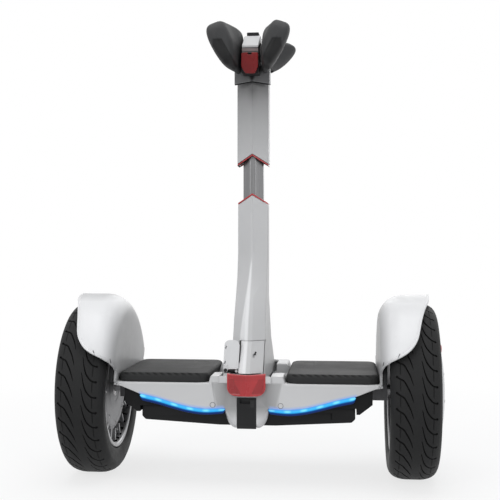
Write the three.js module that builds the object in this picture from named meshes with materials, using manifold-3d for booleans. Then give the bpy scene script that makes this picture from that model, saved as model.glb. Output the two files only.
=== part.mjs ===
// Self balancing personal transporter: two hub motor wheels under fenders, a deck with two foot
// mats, and a steering column that telescopes and carries two knee pads.
// Millimetres, +X to the rider's right, +Y forward, +Z up. The origin is on the ground under
// the middle of the wheel axis, and the heights below are counted from that axis.
import * as THREE from 'three';
import { mergeVertices } from 'three/addons/utils/BufferGeometryUtils.js';
import Module from 'manifold-3d';

const wasm = await Module();
wasm.setup();
const { Manifold, Mesh: SolidMesh } = wasm;

// Clearances and counts
const fit = 0.3;
const runningFit = 0.6;
const overrun = 20;
const weldTolerance = 0.001;
const tyreSteps = 40;
const wheelSteps = 28;
const smallSteps = 24;
const pinSteps = 16;
const cornerSteps = 5;
const bevelSteps = 2;

// Main sizes
const tyreRadius = 128;
const deckHalfWidth = 190;
const deckHalfDepth = 88;

// Wheels
const trackOffset = 44;
const halfTrack = deckHalfWidth + trackOffset;
const tyreHalfWidth = 35;
const tyreSectionHeight = 44;
const beadRadius = tyreRadius - tyreSectionHeight;
const beadHalfWidth = 27;
const rimFlangeHeight = 7;
const rimFlangeRadius = beadRadius + rimFlangeHeight;
const rimFlangeThickness = 4;
const rimSeatDepth = 6.5;
const rimLipRadius = beadRadius - rimSeatDepth;
const drumInnerFace = 20;
const rimWebInner = 10;
const rimWebOuter = 16;
const coverInset = 15;
const coverRadius = rimLipRadius - coverInset;
const coverThickness = 4.5;
const coverHubRadius = 20;
const coverHubDepth = 10;
const drumWall = 2.5;
const drumRadius = coverRadius - drumWall;
const hubcapWall = 2.5;
const hubcapRise = 30;
const reflectorRadius = 7;
const reflectorInset = 16.5;
const reflectorHeight = rimLipRadius - reflectorInset;
const reflectorBaseShare = 0.5;
const reflectorRiseShare = 0.42;
const axleRadius = 8;
const bearingRadius = 14.7;
const bearingWidth = 9;
const statorGap = 4;
const statorRadius = drumRadius - statorGap;
const statorSlotDepth = 14;
const statorWidth = 18;
const statorTeeth = 18;
const statorToothShare = 0.8;

// Axle clamps
const clampWidth = 22.7;
const clampHalfSize = 13.9;

// Fenders
const fenderCrownGap = 9;
const fenderThickness = 3;
const fenderWallInset = 1;
const fenderWallOuter = deckHalfWidth - fenderWallInset;
const fenderShoulderRadius = 36;
const fenderOuterReach = 26;
const fenderOuterEdge = halfTrack + fenderOuterReach;
const fenderHalfAngle = 65.5;
const fenderWallDepthShare = 0.894;
const fenderWallReach = 24;
const fenderAngleShares = [0, 0.26, 0.38, 0.565, 0.718, 0.794, 0.864, 0.924, 0.966, 1];
const fenderReachShares = [1, 0.946, 0.878, 0.784, 0.722, 0.682, 0.608, 0.5, 0.351, 0.12];
const fenderSectionSteps = 9;
const fenderWallSteps = 12;

// Deck shell
const deckTop = 19;
const deckSkin = 3;
const deckTipHeight = 4.5;
const deckTipLength = 10;
const deckTipSlope = 1.5;
const humpTop = 33;
const humpHalfTop = 50;
const humpHalfFoot = 54;
const humpRearTop = 29;
const humpRearEnd = 46;
const humpFrontStart = 30;
const wellLeft = 38;
const wellRight = 34;
const wellFrontWall = 12;
const keelHalfWidth = 30;
const keelBottom = -45;
const keelDepth = 12;
const keelTop = -16;
const keelInsertHalfWidth = 13.5;
const keelInsertTop = -1.3;
const keelInsertThickness = 7.7;
const keelSlotHeight = 6;
const keelSlotDepth = 4;
const keelSlotLid = 2;
const keelWidthShares = [0.5, 0.74, 0.9, 1];
const keelHeightShares = [0, 0.1, 0.31, 0.72];

// Lights and front controls
const lightInner = 30.3;
const lightTipInset = 37.4;
const lightOuter = deckHalfWidth - lightTipInset;
const lightLow = -21.7;
const lightRise = 20.3;
const lightHeight = 6.5;
const lightDepth = 4;
const lightAcrossShares = [0, 0.228, 0.414, 0.6, 0.8, 1];
const lightUpShares = [0.1, 0, 0.12, 0.39, 0.73, 1];
const headlightHalfWidth = 28;
const headlightBottom = 2;
const headlightTop = 14;
const headlightProud = 1.4;
const displayHalfWidth = 22;
const displayDepth = 8;
const displayThickness = 1.2;
const buttonRadius = 6;
const buttonHeight = -11;
const buttonProud = 1.6;
const buttonLength = 6;
const socketHalfWidth = 7.5;
const socketBottom = -39;
const socketTop = -25;
const socketThickness = 1.5;
const capHalfWidth = 9.5;
const capThickness = 1.8;
const capOverlap = 2;
const capHingeRadius = 1.2;

// Chassis frame
const frameSideInset = 14;
const frameEndInset = 8;
const frameHalfWidth = deckHalfWidth - frameSideInset;
const frameHalfDepth = deckHalfDepth - frameEndInset;
const frameWall = 3;
const wingGap = 1.6;
const wingFootLength = 4.4;
const wingBottom = -24;
const wingShoulder = -10;
const centreBayHalfWidth = 42;
const bearingBlockLength = 16;
const centreBayHalfDepth = frameHalfDepth - bearingBlockLength;
const bayDividerWidth = 4;
const bearingBlockHalfWidth = 14;
const bayReliefRise = 4;

// Battery and electronics
const batterySideInset = 38;
const batteryEndInset = 6;
const batteryHalfWidth = deckHalfWidth - batterySideInset;
const batteryHalfDepth = frameHalfDepth - batteryEndInset;
const batteryWall = 3;
const batteryBottom = -42.5;
const batteryFlatHalfWidth = 40;
const batteryEndRise = 6;
const batteryChamfer = 5;
const cellRows = 14;
const cellArcSteps = 6;
const cellSideInset = 12;
const cellEndInset = 8;
const cellBlockHalfWidth = batteryHalfWidth - cellSideInset;
const cellBlockHalfDepth = batteryHalfDepth - cellEndInset;
const boardInner = 60;
const boardSideInset = 16;
const boardOuter = frameHalfWidth - boardSideInset;
const boardHalfDepth = 45;
const boardThickness = 1.6;
const boardStandoff = 3;
const boardStandoffRadius = 3;
const chipHeight = 5;
const chipSize = 22;

// Foot mats
const matInner = 54.5;
const matSideInset = 4.5;
const matEndInset = 2;
const matOuter = deckHalfWidth - matSideInset;
const matHalfDepth = deckHalfDepth - matEndInset;
const matTop = 32;
const matCornerRadius = 12;
const matBevel = 3;
const sensorHalfWidth = 40;
const sensorHalfDepth = 50;
const sensorThickness = 1.8;

// Steering pivot
const pivotHeight = 4;
const shaftRadius = 6;
const steeringBearingRadius = 9.5;
const steeringBearingWidth = 14;
const footBlockHalfWidth = 18;
const footBlockRearGap = 4;
const footBlockRear = centreBayHalfDepth - footBlockRearGap;
const centringSpringLength = 14;
const footBlockFront = centreBayHalfDepth - centringSpringLength;
const footBlockDrop = 10;
const footBlockBottom = pivotHeight - footBlockDrop;
const centringSpringRadius = 11;

// Lower stem, given by its section at the top and at the foot
const stemBottom = 20;
const stemPeak = 290.8;
const chevronSlope = 0.616;
const columnCentre = 18;
const stemHalfWidth = 22.4;
const stemHalfDepth = 23.5;
const stemSideHalf = 13.5;
const stemFacetHalf = 5;
const stemRearOverhang = 10;
const stemRearSweep = 14;
const stemFootRear = deckHalfDepth + stemRearOverhang;
const stemFootRearCorner = stemFootRear - stemRearSweep;
const stemFootRearHalfWidth = 24.6;
const stemFrontInset = 16;
const stemFrontSweep = 10;
const stemFootFront = deckHalfDepth - stemFrontInset;
const stemFootFrontCorner = stemFootFront - stemFrontSweep;
const stemFootFrontHalfWidth = 28.6;
const stemLevelShares = [0, 0.033, 0.199, 0.321, 0.436, 0.543, 0.672, 1];
const stemRearShares = [1, 1, 0.64, 0.52, 0.32, 0.12, 0, 0];
const stemFrontShares = [1, 1, 0, -0.1, -0.1, -0.05, 0, 0];
const stemNoseShares = [1, 1, 0.45, 0.2, 0.1, 0.05, 0, 0];
const stemWidthShares = [1, 1, 0.52, 0.26, 0, 0, 0, 0];
const stemRidgeShares = [1, 1, 1, 1, 0.9, 0.7, 0.4, 0.2];
const stemRearFloor = 33.3;
const stemRearGap = 1.2;
const trimThickness = 2.5;
const trimBlankHeight = 40;
const panelThickness = 2.5;
const panelTop = 76;
const panelLeft = 10.2;
const panelRight = 22.5;
const slotAcross = 8.8;
const slotHeight = 56;
const slotWidth = 2.5;
const slotLength = 5;

// Red cover over the foot of the stem
const footCoverHalfWidth = 27;
const footCoverBottom = 2;
const footCoverTop = 33;
const footCoverSweep = 6.4;
const footCoverRidge = stemFootRear;
const footCoverSide = footCoverRidge - footCoverSweep;
const footCoverThickness = 2.8;
const footCoverChamfer = 10;

// Lock lever
const leverLeft = 33;
const leverRight = 11.6;
const leverBottom = 39;
const leverTop = 78;
const leverInset = 10;
const leverLean = 18;
const leverRearBottom = stemFootRear - leverInset;
const leverRearTop = leverRearBottom - leverLean;
const leverThickness = 6;
const leverTopRound = 8;
const leverFootRound = 3;
const leverPinAcross = 29.7;
const leverPinHeight = 37;
const leverPinRadius = 1.5;
const leverKnuckleRadius = 3;
const leverKnuckleLength = 9;
const leverBracketRear = leverRearBottom - leverKnuckleLength;
const leverBracketDepth = 9;
const leverBracketBottom = 32;
const leverBracketTop = 42;
const leverRecessGap = 2;
const leverSideGap = 0.9;
const leverRecessTop = 80.8;

// Pole and upper sleeve
const poleHalfWidth = 14.9;
const poleHalfDepth = 16.5;
const poleSideHalf = 9;
const poleFacetHalf = 4;
const poleBottom = 122;
const poleFloorGap = 3;
const poleStroke = 55;
const bushThickness = 3;
const bushLength = 18;
const sleevePeak = 346.8;
const sleeveTop = 458;
const sleeveHalfWidth = 23.5;
const sleeveHalfDepth = 23;
const sleeveSideHalf = 13.5;
const sleeveFacetHalf = 1.5;
const sleeveWall = 3;
const sleeveSocketLength = 40;
const collarTop = 482;
const collarHalfWidth = 27.6;
const collarHalfDepth = 26.5;
const collarSideHalf = 16;
const collarVeeDepth = 6;
const collarVeeHalfWidth = 16;

// Head between the knee pads
const headHalfWidth = 12.2;
const headRear = 38;
const headLowerRear = 35.5;
const headFront = 56;
const headRearBottom = 464;
const headLipHeight = 493;
const handleRearBottom = 501;
const handleRearTop = 505;
const handleTop = 527;
const handleThickness = 10;
const handleThroatInset = 2.5;
const handleFlatRear = 0;
const handleFlatFront = 44;
const handleNoseTop = 517;
const handleNoseBottom = 506;
const handleFront = 58;
const headHeelRear = 14;
const handleCapHalfWidth = 9;
const handleCapLength = 38;
const handleCapHeight = 3.5;
const triggerRear = 45;
const triggerBottom = 463;
const triggerThickness = 7;
const triggerTravel = 2;
const triggerChamfer = 5;
const triggerShankHalfWidth = 5;
const triggerShankBottom = 472;
const triggerShankTop = 484;
const triggerShankLength = 12;
const triggerNotchWidth = 6;
const triggerNotchHeight = 3;

// Knee pads, given by sections from the rear tip to the front tip
const padHalfLength = 85;
const padMiddleAcross = 19.6;
const padFootFlare = 24;
const padCrownFlare = 43;
const padBottom = 465;
const padTop = 535;
const padFrontRise = 44;
const padCrownDrop = 14;
const padHalfThickness = 16;
const padStationShares = [
  -1, -0.955, -0.86, -0.73, -0.565, -0.4, -0.235, 0, 0.21, 0.4, 0.59, 0.753, 0.87, 0.953, 1
];
const padFootShares = [0.6, 0.496, 0.4125, 0.37, 0.31, 0.204, 0.08, 0, 0, 0.05, 0.2, 0.45, 0.62, 0.84, 1];
const padCrownShares = [
  0.614, 0.637, 0.649, 0.637, 0.533, 0.347, 0.149, 0,
  0.033, 0.195, 0.498, 0.73, 0.83, 0.851, 0.8
];
const padRiseShares = [
  0.295, 0.136, 0.034, 0, 0, 0.011, 0.034, 0.068,
  0.114, 0.205, 0.364, 0.5, 0.62, 0.75, 0.92
];
const padDropShares = [
  1.2, 0.7, 0.35, 0.12, 0, 0, 0.3, 0.714,
  0.714, 0.643, 0.536, 0.464, 0.5, 0.714, 1.07
];
const padThicknessShares = [
  0.375, 0.72, 0.94, 1, 0.94, 0.78, 0.56, 0.375,
  0.388, 0.469, 0.5625, 0.5625, 0.52, 0.406, 0.2
];
const padSectionSteps = 14;

// Finishes, as read from the photo
const finishes = {
  whitePaint: { color: 0xe4e5e7, roughness: 0.35, metalness: 0 },
  sleevePaint: { color: 0xd9dadd, roughness: 0.4, metalness: 0 },
  blackCasting: { color: 0x1d1e20, roughness: 0.6, metalness: 0.2 },
  blackPlastic: { color: 0x242527, roughness: 0.6, metalness: 0 },
  rubber: { color: 0x2b2c2e, roughness: 0.85, metalness: 0 },
  padFoam: { color: 0x3a3b3d, roughness: 0.75, metalness: 0 },
  redPlastic: { color: 0xb8282c, roughness: 0.3, metalness: 0 },
  silver: { color: 0x9c9da0, roughness: 0.35, metalness: 0.9 },
  steel: { color: 0x8c8d90, roughness: 0.3, metalness: 1 },
  blueLight: { color: 0x1f8fff, roughness: 0.2, metalness: 0 },
  whiteLight: { color: 0xf4f7fa, roughness: 0.15, metalness: 0 },
  copper: { color: 0xb36b3a, roughness: 0.4, metalness: 0.9 },
  greenBoard: { color: 0x1f5b35, roughness: 0.5, metalness: 0 },
  battery: { color: 0x2f5f9e, roughness: 0.5, metalness: 0 }
};

const frameTop = deckTop - deckSkin - fit;
const frameBottom = keelTop + fit;
const fenderCrownRadius = tyreRadius + fenderCrownGap + fenderThickness;
const fenderWallInner = fenderWallOuter - fenderThickness;
const clampInner = frameHalfWidth + fit;
const wheelInnerLip = beadHalfWidth + fit + rimFlangeThickness;

const fenderWallRadius = fenderCrownRadius - fenderShoulderRadius;
const fenderWallHalfDepth = fenderWallRadius * fenderWallDepthShare;

const transporter = new THREE.Group();
const machine = new THREE.Group();
machine.position.z = tyreRadius;
transporter.add(machine);

// Solids from geometries, with the winding turned outward whatever the source
function solidOf(geometry) {
  const bare = new THREE.BufferGeometry();
  bare.setAttribute('position', geometry.getAttribute('position'));
  if (geometry.index) bare.setIndex(geometry.index);
  const merged = mergeVertices(bare, weldTolerance);
  const places = Float32Array.from(merged.getAttribute('position').array);
  const corners = [];
  let volume = 0;
  const point = (index) => new THREE.Vector3().fromArray(places, index * 3);
  for (let i = 0; i < merged.index.count; i += 3) {
    const [a, b, c] = [0, 1, 2].map((k) => merged.index.getX(i + k));
    if (a === b || b === c || c === a) continue;
    corners.push(a, b, c);
    volume += point(a).dot(point(b).cross(point(c)));
  }
  if (volume < 0) corners.reverse();
  const triVerts = Uint32Array.from(corners);
  return new Manifold(new SolidMesh({ numProp: 3, vertProperties: places, triVerts }));
}

function mirrored(solid) {
  const mesh = solid.getMesh();
  const vertProperties = Float32Array.from(mesh.vertProperties, (v, i) => (i % 3 === 0 ? -v : v));
  const triVerts = Uint32Array.from(mesh.triVerts).reverse();
  return new Manifold(new SolidMesh({ numProp: 3, vertProperties, triVerts }));
}

function onSide(solid, side) {
  return side > 0 ? solid : mirrored(solid);
}

function add(name, finish, solid, parent = machine) {
  const mesh = solid.getMesh();
  const geometry = new THREE.BufferGeometry();
  geometry.setAttribute('position', new THREE.BufferAttribute(mesh.vertProperties, 3));
  geometry.setIndex(new THREE.BufferAttribute(mesh.triVerts, 1));
  geometry.computeVertexNormals();
  const piece = new THREE.Mesh(geometry, new THREE.MeshStandardMaterial(finishes[finish]));
  piece.name = name;
  parent.add(piece);
}

// Plain shapes: ranges are [low, high] along each axis
function block(across, along, up) {
  const sizes = [across, along, up].map(([low, high]) => high - low);
  const middles = [across, along, up].map(([low, high]) => (low + high) / 2);
  return solidOf(new THREE.BoxGeometry(...sizes).translate(...middles));
}

function outline(points) {
  return new THREE.Shape(points.map(([a, b]) => new THREE.Vector2(a, b)));
}

// A front view outline of [x, z] pairs, running from low to high along Y
function frontPlate(points, [low, high]) {
  const geometry = new THREE.ExtrudeGeometry(outline(points), { depth: high - low, bevelEnabled: false });
  return solidOf(geometry.rotateX(Math.PI / 2).translate(0, high, 0));
}

// A side view outline of [y, z] pairs, running from low to high along X
function sidePlate(points, [low, high]) {
  const geometry = new THREE.ExtrudeGeometry(outline(points), { depth: high - low, bevelEnabled: false });
  const turn = new THREE.Matrix4().set(0, 0, 1, 0, 1, 0, 0, 0, 0, 1, 0, 0, 0, 0, 0, 1);
  return solidOf(geometry.applyMatrix4(turn).translate(low, 0, 0));
}

// A plan outline of [x, y] pairs, running from low to high along Z
function planPlate(points, [low, high]) {
  const geometry = new THREE.ExtrudeGeometry(outline(points), { depth: high - low, bevelEnabled: false });
  return solidOf(geometry.translate(0, 0, low));
}

function rodAlongX(radius, [low, high], y, z, steps = smallSteps) {
  const geometry = new THREE.CylinderGeometry(radius, radius, high - low, steps);
  return solidOf(geometry.rotateZ(Math.PI / 2).translate((low + high) / 2, y, z));
}

function rodAlongY(radius, [low, high], x, z, steps = smallSteps) {
  const geometry = new THREE.CylinderGeometry(radius, radius, high - low, steps);
  return solidOf(geometry.translate(x, (low + high) / 2, z));
}

// Pairs of [radius, distance outward from the wheel's middle plane], turned about the axle
function turned(profile, side, steps) {
  const points = profile.map(([radius, out]) => new THREE.Vector2(radius, out));
  const closed = profile[0][0] === 0 ? points : [...points, points[0]];
  return solidOf(new THREE.LatheGeometry(closed, steps).rotateZ((-side * Math.PI) / 2));
}

// Faces between neighbouring rings of equal point counts
function sideFaces(rings) {
  const count = rings[0].length;
  const index = [];
  for (let r = 0; r < rings.length - 1; r += 1) {
    for (let k = 0; k < count; k += 1) {
      const a = r * count + k;
      const b = r * count + ((k + 1) % count);
      index.push(a, b, b + count, a, b + count, a + count);
    }
  }
  return index;
}

function ringSolid(rings, index) {
  const places = rings.flat().flatMap((p) => p.toArray());
  const geometry = new THREE.BufferGeometry();
  geometry.setAttribute('position', new THREE.Float32BufferAttribute(places, 3));
  geometry.setIndex(index);
  return solidOf(geometry);
}

// A closed body through rings, with flat convex ends
function lofted(rings) {
  const count = rings[0].length;
  const index = sideFaces(rings);
  const last = (rings.length - 1) * count;
  for (let k = 1; k < count - 1; k += 1) {
    index.push(0, k + 1, k, last, last + k, last + k + 1);
  }
  return ringSolid(rings, index);
}

function join(...solids) {
  return solids.reduce((whole, next) => whole.add(next));
}

function cut(solid, ...tools) {
  return tools.reduce((whole, tool) => whole.subtract(tool), solid);
}

function bothSides(points) {
  return [...points, ...points.map(([x, z]) => [-x, z]).reverse()];
}

function circlePoint(radius, angle) {
  return [radius * Math.cos(angle), radius * Math.sin(angle)];
}

// Wheels
function tyreProfile() {
  const height = tyreRadius - beadRadius;
  const heightShares = [0, 0.17, 0.2, 0.32, 0.5, 0.7, 0.85, 0.955, 1];
  const widthShares = [0.77, 0.77, 0.88, 0.97, 1, 0.98, 0.86, 0.63, 0.29];
  const half = heightShares.map((share, i) => [
    beadRadius + share * height,
    widthShares[i] * tyreHalfWidth
  ]);
  return [...half, ...half.map(([r, out]) => [r, -out]).reverse()];
}

function rimProfile() {
  const seat = beadRadius - fit;
  const seatHalf = beadHalfWidth + fit;
  const lip = wheelInnerLip;
  const dishRadius = coverRadius + fit;
  return [
    [0, rimWebInner],
    [drumRadius, rimWebInner],
    [drumRadius, -drumInnerFace],
    [dishRadius, -drumInnerFace],
    [rimLipRadius, -lip],
    [rimFlangeRadius, -lip],
    [rimFlangeRadius, -seatHalf],
    [seat, -seatHalf],
    [seat, seatHalf],
    [rimFlangeRadius, seatHalf],
    [rimFlangeRadius, lip],
    [rimLipRadius, lip],
    [rimLipRadius, rimWebOuter],
    [0, rimWebOuter]
  ];
}

function coverProfile() {
  const bore = bearingRadius + fit;
  const inner = -drumInnerFace - fit;
  const outer = inner - coverThickness;
  return [
    [bore, outer],
    [bore, outer + coverHubDepth],
    [coverHubRadius, outer + coverHubDepth],
    [coverHubRadius, inner],
    [coverRadius, inner],
    [coverRadius, inner - coverThickness / 2],
    [coverRadius - coverThickness, outer]
  ];
}

function hubcapProfile() {
  const rimEdge = rimLipRadius - fit;
  const base = rimWebOuter + fit;
  const radiusShares = [1, 1, 0.94, 0.8, 0.6, 0.35, 0];
  const riseShares = [0, 0.34, 0.6, 0.82, 0.93, 0.98, 1];
  const outer = radiusShares.map((share, i) => [rimEdge * share, base + riseShares[i] * hubcapRise]);
  const innerEdge = rimEdge - hubcapWall;
  const innerRise = hubcapRise - hubcapWall;
  const inner = radiusShares.map((share, i) => [innerEdge * share, base + riseShares[i] * innerRise]);
  return [...inner.reverse(), ...outer];
}

function statorSolid(side) {
  const points = [];
  const toothAngle = (2 * Math.PI) / statorTeeth;
  for (let tooth = 0; tooth < statorTeeth; tooth += 1) {
    const start = tooth * toothAngle;
    const slotStart = start + toothAngle * statorToothShare;
    points.push(circlePoint(statorRadius, start));
    points.push(circlePoint(statorRadius, slotStart));
    points.push(circlePoint(statorRadius - statorSlotDepth, slotStart));
    points.push(circlePoint(statorRadius - statorSlotDepth, start + toothAngle));
  }
  const start = (coverHubDepth - drumInnerFace + runningFit) * side;
  const end = start + statorWidth * side;
  const range = [Math.min(start, end), Math.max(start, end)];
  const bore = rodAlongX(axleRadius + fit, [range[0] - overrun, range[1] + overrun], 0, 0);
  return cut(sidePlate(points, range), bore);
}

function wheel(side, word) {
  const hub = new THREE.Group();
  hub.position.x = side * halfTrack;
  machine.add(hub);
  const coverOuter = -drumInnerFace - fit - coverThickness;
  const reflectorBase = rimWebOuter + fit + hubcapRise * reflectorBaseShare;
  const reflectorEnd = reflectorBase + hubcapRise * reflectorRiseShare;
  const reflectorSpan = [side * reflectorBase, side * reflectorEnd].sort((a, b) => a - b);
  const pocketSpan = [reflectorSpan[0] - overrun, reflectorSpan[1] + overrun];
  const hole = rodAlongX(reflectorRadius + fit, pocketSpan, 0, reflectorHeight, pinSteps);
  const ring = [
    [axleRadius + fit, coverOuter],
    [bearingRadius, coverOuter],
    [bearingRadius, coverOuter + bearingWidth],
    [axleRadius + fit, coverOuter + bearingWidth]
  ];
  add(`${word}_tyre`, 'rubber', turned(tyreProfile(), side, tyreSteps), hub);
  add(`${word}_rim`, 'silver', turned(rimProfile(), side, wheelSteps), hub);
  add(`${word}_motor_cover`, 'silver', turned(coverProfile(), side, wheelSteps), hub);
  add(`${word}_wheel_bearing`, 'steel', turned(ring, side, smallSteps), hub);
  add(`${word}_hubcap`, 'whitePaint', cut(turned(hubcapProfile(), side, wheelSteps), hole), hub);
  const spot = rodAlongX(reflectorRadius, reflectorSpan, 0, reflectorHeight, pinSteps);
  add(`${word}_reflector`, 'redPlastic', spot, hub);
  add(`${word}_stator`, 'copper', statorSolid(side), hub);
}

function axleAndClamp(side, word) {
  const axleEnd = halfTrack + rimWebInner - runningFit;
  const axle = rodAlongX(axleRadius, [clampInner + fit, axleEnd], 0, 0);
  const clampOuter = clampInner + clampWidth;
  const size = [-clampHalfSize, clampHalfSize];
  const hole = rodAlongX(axleRadius + fit, [clampInner - overrun, clampOuter + overrun], 0, 0);
  const clamp = cut(block([clampInner, clampOuter], size, size), hole);
  add(`${word}_axle`, 'steel', onSide(axle, side));
  add(`${word}_axle_clamp`, 'silver', onSide(clamp, side));
}

// Fenders: a crown bent round the wheel axis whose outer edge draws in towards both ends,
// joined to a flat wall beside the deck
function fenderSectionPoint(length, depth) {
  const shoulder = fenderShoulderRadius - depth;
  const wallX = fenderWallInner + depth;
  const aboveWall = length - fenderWallReach;
  if (aboveWall < 0) return [wallX, fenderWallRadius + aboveWall];
  const turn = Math.min(aboveWall / fenderShoulderRadius, Math.PI / 2);
  const past = Math.max(aboveWall - (Math.PI / 2) * fenderShoulderRadius, 0);
  const centreX = fenderWallInner + fenderShoulderRadius;
  return [centreX - shoulder * Math.cos(turn) + past, fenderWallRadius + shoulder * Math.sin(turn)];
}

function fenderSectionLength(reach) {
  const shoulderReach = Math.min(reach, fenderShoulderRadius);
  const turn = Math.acos(1 - shoulderReach / fenderShoulderRadius);
  const past = Math.max(reach - fenderShoulderRadius, 0);
  return fenderWallReach + turn * fenderShoulderRadius + past;
}

function fenderStations() {
  const half = fenderAngleShares.map((share, i) => ({
    angle: THREE.MathUtils.degToRad(fenderHalfAngle * share),
    reach: fenderReachShares[i] * (fenderOuterEdge - fenderWallInner)
  }));
  const rear = half.slice(1).map(({ angle, reach }) => ({ angle: -angle, reach }));
  return [...rear.reverse(), ...half];
}

function fenderRing({ angle, reach }) {
  const length = fenderSectionLength(reach);
  const place = (step, depth) => {
    const [x, radius] = fenderSectionPoint((length * step) / fenderSectionSteps, depth);
    return new THREE.Vector3(x, radius * Math.sin(angle), radius * Math.cos(angle));
  };
  const steps = Array.from({ length: fenderSectionSteps + 1 }, (_, step) => step);
  const outside = steps.map((step) => place(step, 0));
  const inside = steps.map((step) => place(step, fenderThickness)).reverse();
  return [...outside, ...inside];
}

// The same for rings that run out along one side of a shell and back along the other
function shellBetween(rings) {
  const count = rings[0].length;
  const half = count / 2;
  const index = sideFaces(rings);
  const last = (rings.length - 1) * count;
  for (let k = 0; k < half - 1; k += 1) {
    const back = count - 1 - k;
    index.push(k, back, k + 1, back, back - 1, k + 1);
    index.push(last + k, last + k + 1, last + back, last + back, last + k + 1, last + back - 1);
  }
  return ringSolid(rings, index);
}

function fenderWall() {
  const bottom = deckTop + fit;
  const start = Math.acos(fenderWallDepthShare);
  const arc = Array.from({ length: fenderWallSteps + 1 }, (_, step) => {
    const angle = start + ((Math.PI - 2 * start) * step) / fenderWallSteps;
    return circlePoint(fenderWallRadius, angle);
  });
  const points = [[-fenderWallHalfDepth, bottom], [fenderWallHalfDepth, bottom], ...arc];
  return sidePlate(points, [fenderWallInner, fenderWallOuter]);
}

function fender(side, word) {
  const crown = shellBetween(fenderStations().map(fenderRing));
  add(`${word}_fender`, 'whitePaint', onSide(join(crown, fenderWall()), side));
}

// Deck
function lightPoints(offset) {
  return lightAcrossShares.map((share, i) => [
    lightInner + share * (lightOuter - lightInner),
    lightLow + lightUpShares[i] * lightRise + offset
  ]);
}

function deckOutline() {
  const keel = keelWidthShares.map((share, i) => [
    share * keelHalfWidth,
    keelBottom + keelHeightShares[i] * (keelTop - keelBottom)
  ]);
  const lightTop = lightPoints(lightHeight / 2 + fit);
  const tip = deckTop - deckTipHeight;
  return bothSides([
    ...keel,
    [keelHalfWidth, lightTop[0][1]],
    ...lightTop,
    [deckHalfWidth - deckTipLength, tip - deckTipSlope],
    [deckHalfWidth, tip],
    [deckHalfWidth, deckTop],
    [humpHalfFoot, deckTop],
    [humpHalfTop, humpTop]
  ]);
}

function deckShell() {
  const body = frontPlate(deckOutline(), [-deckHalfDepth, deckHalfDepth]);
  const insideX = deckHalfWidth - deckSkin;
  const insideY = deckHalfDepth - deckSkin;
  const humpInside = humpHalfTop - deckSkin;
  const keelInside = deckHalfDepth - keelDepth;
  const under = keelBottom - overrun;
  const slotX = [-keelInsertHalfWidth - fit, keelInsertHalfWidth + fit];
  const past = deckHalfDepth + overrun;
  const display = displayHalfWidth + fit;
  const displayFront = deckHalfDepth - deckSkin / 2;
  const pocket = [displayFront - displayDepth - runningFit, displayFront];
  const wellFront = deckHalfDepth - wellFrontWall;
  const above = humpTop + overrun;
  const wholeHump = [-humpHalfFoot - fit, humpHalfFoot + fit];
  const light = headlightHalfWidth + fit;
  return cut(
    body,
    block([-insideX, insideX], [-insideY, insideY], [keelTop, deckTop - deckSkin]),
    block([-insideX, insideX], [-keelInside, keelInside], [under, keelTop + fit]),
    block([-humpInside, humpInside], [humpFrontStart + deckSkin, insideY], [keelTop, humpTop - deckSkin]),
    block([-humpInside, humpInside], [-insideY, -humpRearEnd - deckSkin], [keelTop, humpRearTop - deckSkin]),
    block(wholeHump, [-humpRearEnd, humpFrontStart], [deckTop, above]),
    block(wholeHump, [-past, -humpRearEnd], [humpRearTop, above]),
    block([-wellLeft, wellRight], [-insideY, wellFront], [keelTop, above]),
    block([-wellLeft, wellRight], [-past, 0], [deckTop, above]),
    block(slotX, [-past, past], [under, keelInsertTop + fit]),
    block([-light, light], [0, past], [headlightBottom - fit, headlightTop + fit]),
    block([-display, display], pocket, [humpTop - displayThickness, above])
  );
}

function tailLight(side, word) {
  const lower = lightPoints(-lightHeight / 2);
  const upper = lightPoints(lightHeight / 2).reverse();
  const range = [-deckHalfDepth - runningFit, -deckHalfDepth + lightDepth];
  add(`${word}_tail_light`, 'blueLight', onSide(frontPlate([...lower, ...upper], range), side));
}

function headlight() {
  const range = [deckHalfDepth - deckSkin, deckHalfDepth + headlightProud];
  const across = [-headlightHalfWidth, headlightHalfWidth];
  add('headlight', 'whiteLight', block(across, range, [headlightBottom, headlightTop]));
}

function statusDisplay() {
  const front = deckHalfDepth - deckSkin / 2 - fit;
  const along = [front - displayDepth, front];
  const up = [humpTop - displayThickness + fit, humpTop + fit];
  add('status_display', 'blackPlastic', block([-displayHalfWidth, displayHalfWidth], along, up));
}

function keelInserts() {
  const across = [-keelInsertHalfWidth, keelInsertHalfWidth];
  const face = deckHalfDepth + fit;
  const back = face - keelInsertThickness;
  const up = [keelBottom, keelInsertTop];
  const slotTop = keelInsertTop - keelSlotLid;
  const slot = block(
    [across[0] + keelSlotDepth, across[1] - keelSlotDepth],
    [-face - overrun, -face + keelSlotDepth],
    [slotTop - keelSlotHeight, slotTop]
  );
  add('rear_keel_insert', 'blackPlastic', cut(block(across, [-face, -back], up), slot));
  const buttonHole = rodAlongY(buttonRadius + fit, [back - overrun, face + overrun], 0, buttonHeight);
  const mouth = block(
    [-socketHalfWidth, socketHalfWidth],
    [back - overrun, face + overrun],
    [socketBottom, socketTop]
  );
  add('front_keel_insert', 'blackPlastic', cut(block(across, [back, face], up), buttonHole, mouth));
}

function powerButton() {
  const end = deckHalfDepth + fit + buttonProud;
  add('power_button', 'silver', rodAlongY(buttonRadius, [end - buttonLength, end], 0, buttonHeight));
}

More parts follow.
